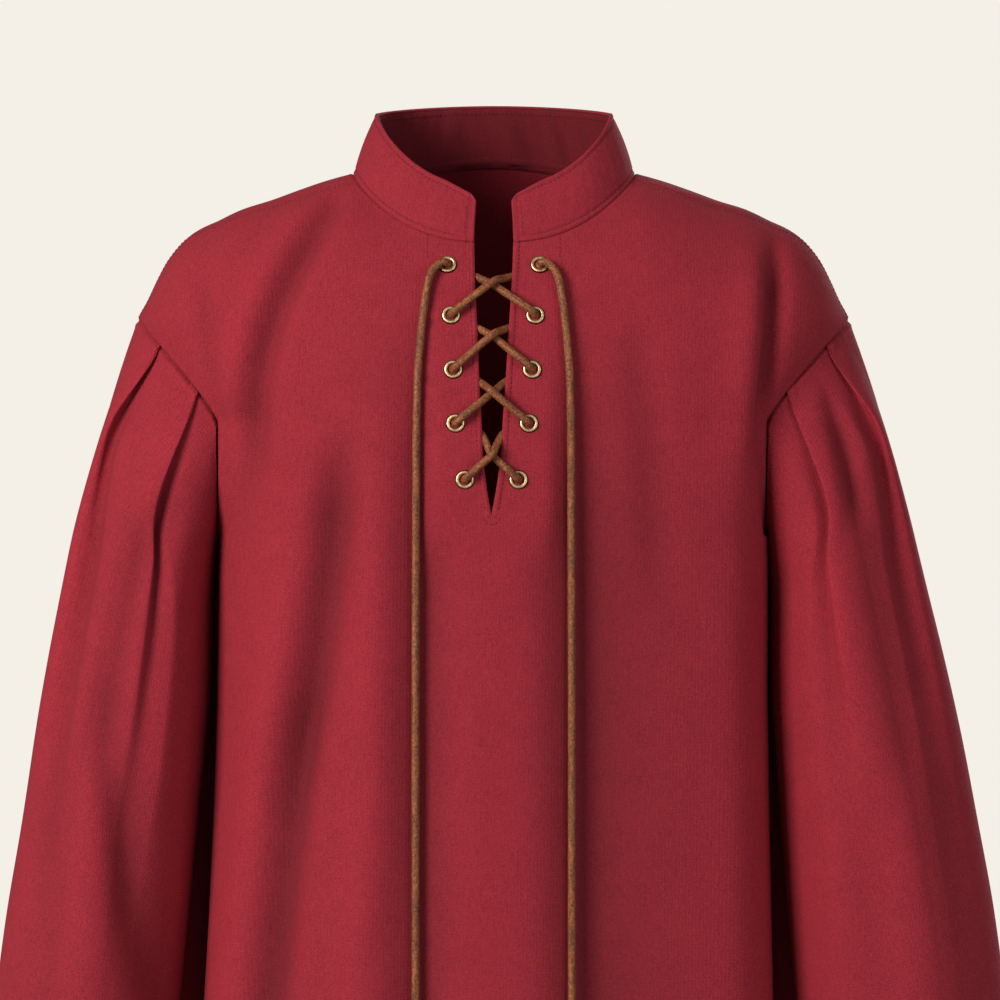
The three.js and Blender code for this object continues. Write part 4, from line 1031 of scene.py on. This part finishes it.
def strand(start):
    """Route of one run of the lacing, from the top eyelet on one side down to the last pair."""
    places = []
    side = start
    for n, row in enumerate(EYELETS):
        bends = [(0, 0.9), (0, 0.4)] if n == 0 else DIVE
        fall = 0 if n == 0 else (EYELETS[n - 1]["cross"] - row["z"]) / row["half"]
        for across, out in bends:
            places.append(over_front(side * (row["half"] - across), row["z"] + fall * across, out))
        for across, out in RISE:
            places.append(over_front(side * (row["half"] - across), row["z"], out))
        if n == len(EYELETS) - 1:
            break
        half = float(read(SLIT, "z", "half", row["leave"]))
        after = EYELETS[n + 1]
        top = row["on_top"] == side
        leave, cross = row["leave"], row["cross"]
        places.append(over_front(side * (half + 5), mix(row["z"], leave, 0.7), -5.8))
        places.append(over_front(side * (half + 0.6), leave, -4.6))
        places.append(over_front(side * half * 0.5, mix(leave, cross, 0.5), 1.4 if top else -1.6))
        places.append(over_front(0, cross, 7.9 if top else 1.7))
        over = half + 3
        places.append(over_front(-side * over, mix(cross, after["z"], over / after["half"]),
                                 6.2 if top else 4.1))
        side = -side
    return places


def lace_middle():
    right, left = strand(-1), strand(1)
    foot = EYELETS[-1]
    half, z = foot["half"], foot["z"]
    loop = [over_front(x, z + drop, out) for x, drop, out in (
        (-half + 3, -6, -6.2), (-half + 8, -15, -5.8), (0, -21, -5.8), (half - 8, -15, -5.8),
        (half - 3, -6, -6.2))]
    if right[-1][0] > 0:
        loop.reverse()
    cord_tube("lacing", right + loop + left[::-1], 1.3, ["laceMiddle"])


def lace_end(side):
    top = EYELETS[0]
    half, z = top["half"], top["z"]
    places = [over_front(side * (half + 0.36), z, 2.45)]
    for across, out in reversed(DIVE[1:-2]):
        places.append(over_front(side * (half + across), z, out))
    for x, z_at, out in CORD_ENDS:
        places.append(over_front(side * x - lean(z_at), z_at, out))
    word = "Left" if side > 0 else "Right"
    obj, route, length = cord_tube("lace" + word, places, 2.2, ["laceEnd" + word])


# ---- Eyelets ----
def eyelet_frame(row, side):
    at = over_front(side * row["half"], row["z"], 0)
    normal = Vector(over_front(side * row["half"], row["z"], 1) - at).normalized()
    return Vector(at), normal


def eyelet(name, row, side, node_name):
    profile = [(3.95, 0.2), (4.0, 0.9), (4.35, 1.35), (4.9, 1.6), (5.6, 1.6), (6.15, 1.3), (6.5, 0.9),
               (6.85, 0.3), (4.75, 0.25), (4.75, -2), (6, -2), (5.8, -2.6), (5, -2.7), (4.2, -2.4),
               (3.95, -1.8)]
    bm = bmesh.new()
    ring = [bm.verts.new((r, 0, h)) for r, h in profile]
    edges = [bm.edges.new((a, b)) for a, b in zip(ring, ring[1:] + ring[:1])]
    bmesh.ops.spin(bm, geom=ring + edges, cent=(0, 0, 0), axis=(0, 0, 1), angle=2 * math.pi,
                   steps=40, use_merge=True)
    bmesh.ops.remove_doubles(bm, verts=bm.verts, dist=1e-4)
    bmesh.ops.recalc_face_normals(bm, faces=bm.faces)
    for face in bm.faces:
        spot = face.calc_center_median()
        face.material_index = int(spot.z < 0.4 or math.hypot(spot.x, spot.y) > 6.3)
    at, normal = eyelet_frame(row, side)
    turn = normal.to_track_quat("Z", "Y").to_matrix().to_4x4()
    bmesh.ops.transform(bm, matrix=Matrix.Translation(at * MM) @ turn @ Matrix.Scale(MM, 4),
                        verts=bm.verts)
    obj = piece(name, bm, BRASS)
    obj.data.materials.append(BRASS_DARK)
    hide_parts(node_name)
    return obj


# ---- Stitches ----
def search(obj):
    """Search tree over a piece's outer surface, for laying stitches on it."""
    bm = bmesh.new()
    bm.from_mesh(obj.data)
    tree = BVHTree.FromBMesh(bm)
    bm.free()
    return tree


def one_stitch():
    """A short fat thread of unit size, as points and faces to be repeated."""
    bm = bmesh.new()
    bmesh.ops.create_uvsphere(bm, u_segments=6, v_segments=5, radius=1)
    points = np.array([v.co for v in bm.verts])
    faces = [[v.index for v in f.verts] for f in bm.faces]
    bm.free()
    return points, faces


STITCH_POINTS, STITCH_FACES = one_stitch()


def sew(made, tree, line, sunk=0.0):
    """Adds stitches along points in millimetres, on the surface or sunk through to its back."""
    line = np.asarray(line, float) * MM
    length = np.concatenate([[0], np.cumsum(np.linalg.norm(np.diff(line, axis=0), axis=1))])
    count = max(1, int(length[-1] / (STITCH_PITCH * MM)))
    at = np.linspace(0, length[-1], count + 1)
    spots = [Vector([np.interp(a, length, line[:, k]) for k in range(3)]) for a in at]
    for a, b in zip(spots, spots[1:]):
        place, normal, _, _ = tree.find_nearest((a + b) / 2)
        along = (b - a) - normal * (b - a).dot(normal)
        if sunk:
            place = place - normal * (sunk * MM)
        across = normal.cross(along).normalized()
        turn = np.array((along.normalized(), across, normal))
        size = (along.length * 0.41, STITCH_HALF * MM, STITCH_HALF * 0.8 * MM)
        made.append((STITCH_POINTS * size) @ turn + place)


def plain_armhole_inner(turn, front):
    """Points on the body a little way in from the armhole."""
    edge = armhole_edge(turn, front)
    up = length_up(edge, front)
    inner = plain_body(edge[:, 0] * 0.9, up * 0.96 + 2, front)
    inner[:, 0] -= lean(inner[:, 2])
    return inner


def seam_line(edge, inner, distance):
    """Points at a distance from an edge, towards a line inside it."""
    inwards = inner - edge
    return edge + inwards / np.linalg.norm(inwards, axis=-1, keepdims=True) * distance


def leaned(line, side):
    """A line worked out for the straight wearer's left half, put on its side of the leaning body."""
    made = line * (side, 1, 1)
    made[:, 0] += lean(made[:, 2])
    return made


def sew_band(made, tree):
    share = np.linspace(-0.955, 0.955, 160)
    sew(made, tree, collar_point(share, np.full(160, 1 - COLLAR_STITCH / COLLAR_SIDE), 1))
    sew(made, tree, collar_point(share, np.full(160, BASE_STITCH / COLLAR_SIDE), 1))
    nape = np.linspace(-0.42, 0.42, 60)
    sew(made, tree, collar_point(nape, np.full(60, 1 - COLLAR_STITCH / COLLAR_SIDE), 1), COLLAR_WALL)
    sew(made, tree, collar_point(nape, np.full(60, 4 / COLLAR_SIDE), 1), COLLAR_WALL)
    for end in (-0.978, 0.978):
        sew(made, tree, collar_point(np.full(10, end), np.linspace(0.1, 0.7, 10), 1))


def sew_slit(made, tree, side):
    down = np.linspace(-45, SLIT_END + 2, 40)
    sew(made, tree, [over_front(side * (read(SLIT, "z", "half", z) + SLIT_STITCH), z, 0) for z in down])
    sew(made, tree, [over_front(side * FACING_X, z, 0) for z in np.linspace(-42, -64, 6)])


def sew_armhole(made, tree, side, front):
    turn = np.linspace(0.02, 0.97, 80)
    edge, inner = armhole_edge(turn, front), plain_armhole_inner(turn, front)
    sew(made, tree, leaned(seam_line(edge, inner, ARMHOLE_STITCH), side))


def sew_shoulder(made, tree, side):
    edge = seam_point(np.linspace(0.03, 0.97, 60))
    for distance in SHOULDER_STITCHES:
        sew(made, tree, leaned(edge - (0, distance, 0), side))


def sew_hem(made, tree, side, front):
    z = np.float64(HEM_Z + HEM_TURN)
    half = read(BODY, "z", "half", z)
    depth = read(BODY, "z", "front" if front else "back", z)
    x = section_x(half, depth, np.linspace(0, 0.99, 80))
    y = depth * square_arc(x / half) * (-1 if front else 1)
    sew(made, tree, np.stack([side * x + lean(z), y, np.full(80, z)], axis=-1))


def sew_bartack(made, tree):
    """A half round of stitches and a bar that hold the foot of the slit."""
    arc = np.linspace(0, math.pi, 8)
    sew(made, tree, [over_front(6.4 * math.cos(a), SLIT_END - 3 - 5.4 * math.sin(a), 0) for a in arc])
    sew(made, tree, [over_front(x, SLIT_END - 2.6, 0) for x in np.linspace(-4, 4, 5)])


def stitches(front, back, band, sleeves):
    """All the visible thread, as one piece."""
    made = []
    on_front, on_back = search(front), search(back)
    sew_band(made, search(band))
    for side in (1, -1):
        sew_slit(made, on_front, side)
        for tree, at_front in ((on_front, True), (on_back, False)):
            sew_armhole(made, tree, side, at_front)
        sew_shoulder(made, on_front, side)
        for tree, at_front in ((on_front, True), (on_back, False)):
            sew_hem(made, tree, side, at_front)
    sew_bartack(made, on_front)
    for obj, ring in sleeves:
        sew(made, search(obj), np.concatenate([ring, ring[:1]]))
    bm = bmesh.new()
    for points in made:
        verts = [bm.verts.new(p) for p in points]
        for face in STITCH_FACES:
            bm.faces.new([verts[k] for k in face])
    piece("stitching", bm, THREAD)


# ---- Camera, light and floor ----
PAPER = "#f4f0e7"


def camera():
    data = bpy.data.cameras.new("camera")
    data.sensor_width = SENSOR
    data.lens = SENSOR * CAMERA_BACK / VIEW_WIDTH
    made = bpy.data.objects.new("camera", data)
    made.location = (VIEW_X * MM, -CAMERA_BACK * MM, VIEW_Z * MM)
    made.rotation_euler = (math.pi / 2, 0, 0)
    bpy.context.scene.collection.objects.link(made)
    bpy.context.scene.camera = made


def area_light(name, location, target, size, power, colour="#ffffff"):
    data = bpy.data.lights.new(name, "AREA")
    data.shape = "RECTANGLE"
    data.size, data.size_y = size
    data.energy = power
    data.color = linear(colour)[:3]
    made = bpy.data.objects.new(name, data)
    made.location = location
    made.rotation_euler = (Vector(target) - Vector(location)).to_track_quat("-Z", "Y").to_euler()
    bpy.context.scene.collection.objects.link(made)


def sweep():
    """A round floor that rises into a wall all round, so that it never stands before the shirt."""
    bend = np.linspace(0, math.pi / 2, 11)
    radius = np.concatenate([[0, SWEEP_REACH / 2], SWEEP_REACH + SWEEP_BEND * np.sin(bend)])
    radius = np.append(radius, radius[-1])
    height = np.concatenate([[0, 0], SWEEP_BEND * (1 - np.cos(bend)), [SWEEP_WALL]]) + FLOOR_Z
    around = np.linspace(0, 2 * math.pi, 65)
    places = np.stack([radius[:, None] * np.cos(around), radius[:, None] * np.sin(around),
                       height[:, None] + 0 * around], axis=-1)
    bm = bmesh.new()
    lines = grid(bm, len(around) - 1, len(radius) - 1)
    put(bm, lines, places, places[..., :2])
    mesh = bpy.data.meshes.new("sweep")
    bm.to_mesh(mesh)
    bm.free()
    made = bpy.data.objects.new("sweep", mesh)
    bpy.context.scene.collection.objects.link(made)
    material, tree = blank("lit paper")
    glow = node(tree, "ShaderNodeEmission", {"Color": linear(PAPER), "Strength": 1.0})
    node(tree, "ShaderNodeOutputMaterial", {}, {"Surface": glow.outputs["Emission"]})
    mesh.materials.append(material)
    mesh.shade_smooth()
    # The paper is only seen: it neither lights nor shades the shirt.
    made.visible_diffuse = False
    made.visible_glossy = False
    made.visible_shadow = False


def studio():
    area_light("key", (-2.3, -2.35, 0.62), (0, 0, -0.34), (1.5, 1.5), 116, "#fff6ec")
    area_light("fill", (2.3, -2.7, 0.0), (0, 0, -0.5), (2.2, 2.2), 29)
    area_light("behind", (1.5, 3.0, 0.7), (0, 0, -0.4), (2.4, 2.4), 55)
    world = bpy.data.worlds.new("studio")
    world.use_nodes = True
    world.node_tree.nodes["Background"].inputs["Color"].default_value = linear(PAPER)
    world.node_tree.nodes["Background"].inputs["Strength"].default_value = 0.22
    bpy.context.scene.world = world
    sweep()


camera()
for side in (1, -1):
    lace_end(side)
lace_middle()
front = body_panel("front", True, "bodyFront")
back = body_panel("back", False, "bodyBack")
left, left_points = sleeve("sleeveLeftCloth", 1, "sleeveLeft")
right, right_points = sleeve("sleeveRightCloth", -1, "sleeveRight")
band = collar()
for n, row in enumerate(EYELETS, 1):
    eyelet(f"rimLeft{n}", row, 1, f"eyeletLeft{n}")
    eyelet(f"rimRight{n}", row, -1, f"eyeletRight{n}")
hem_ring = 1 + int(np.argmin(np.abs((1 - SLEEVE_LINES) * OUTER_DROP - HEM_TURN)))
stitches(front, back, band, [(left, left_points[hem_ring]), (right, right_points[hem_ring])])
studio()
bpy.context.scene.view_settings.view_transform = "Standard"
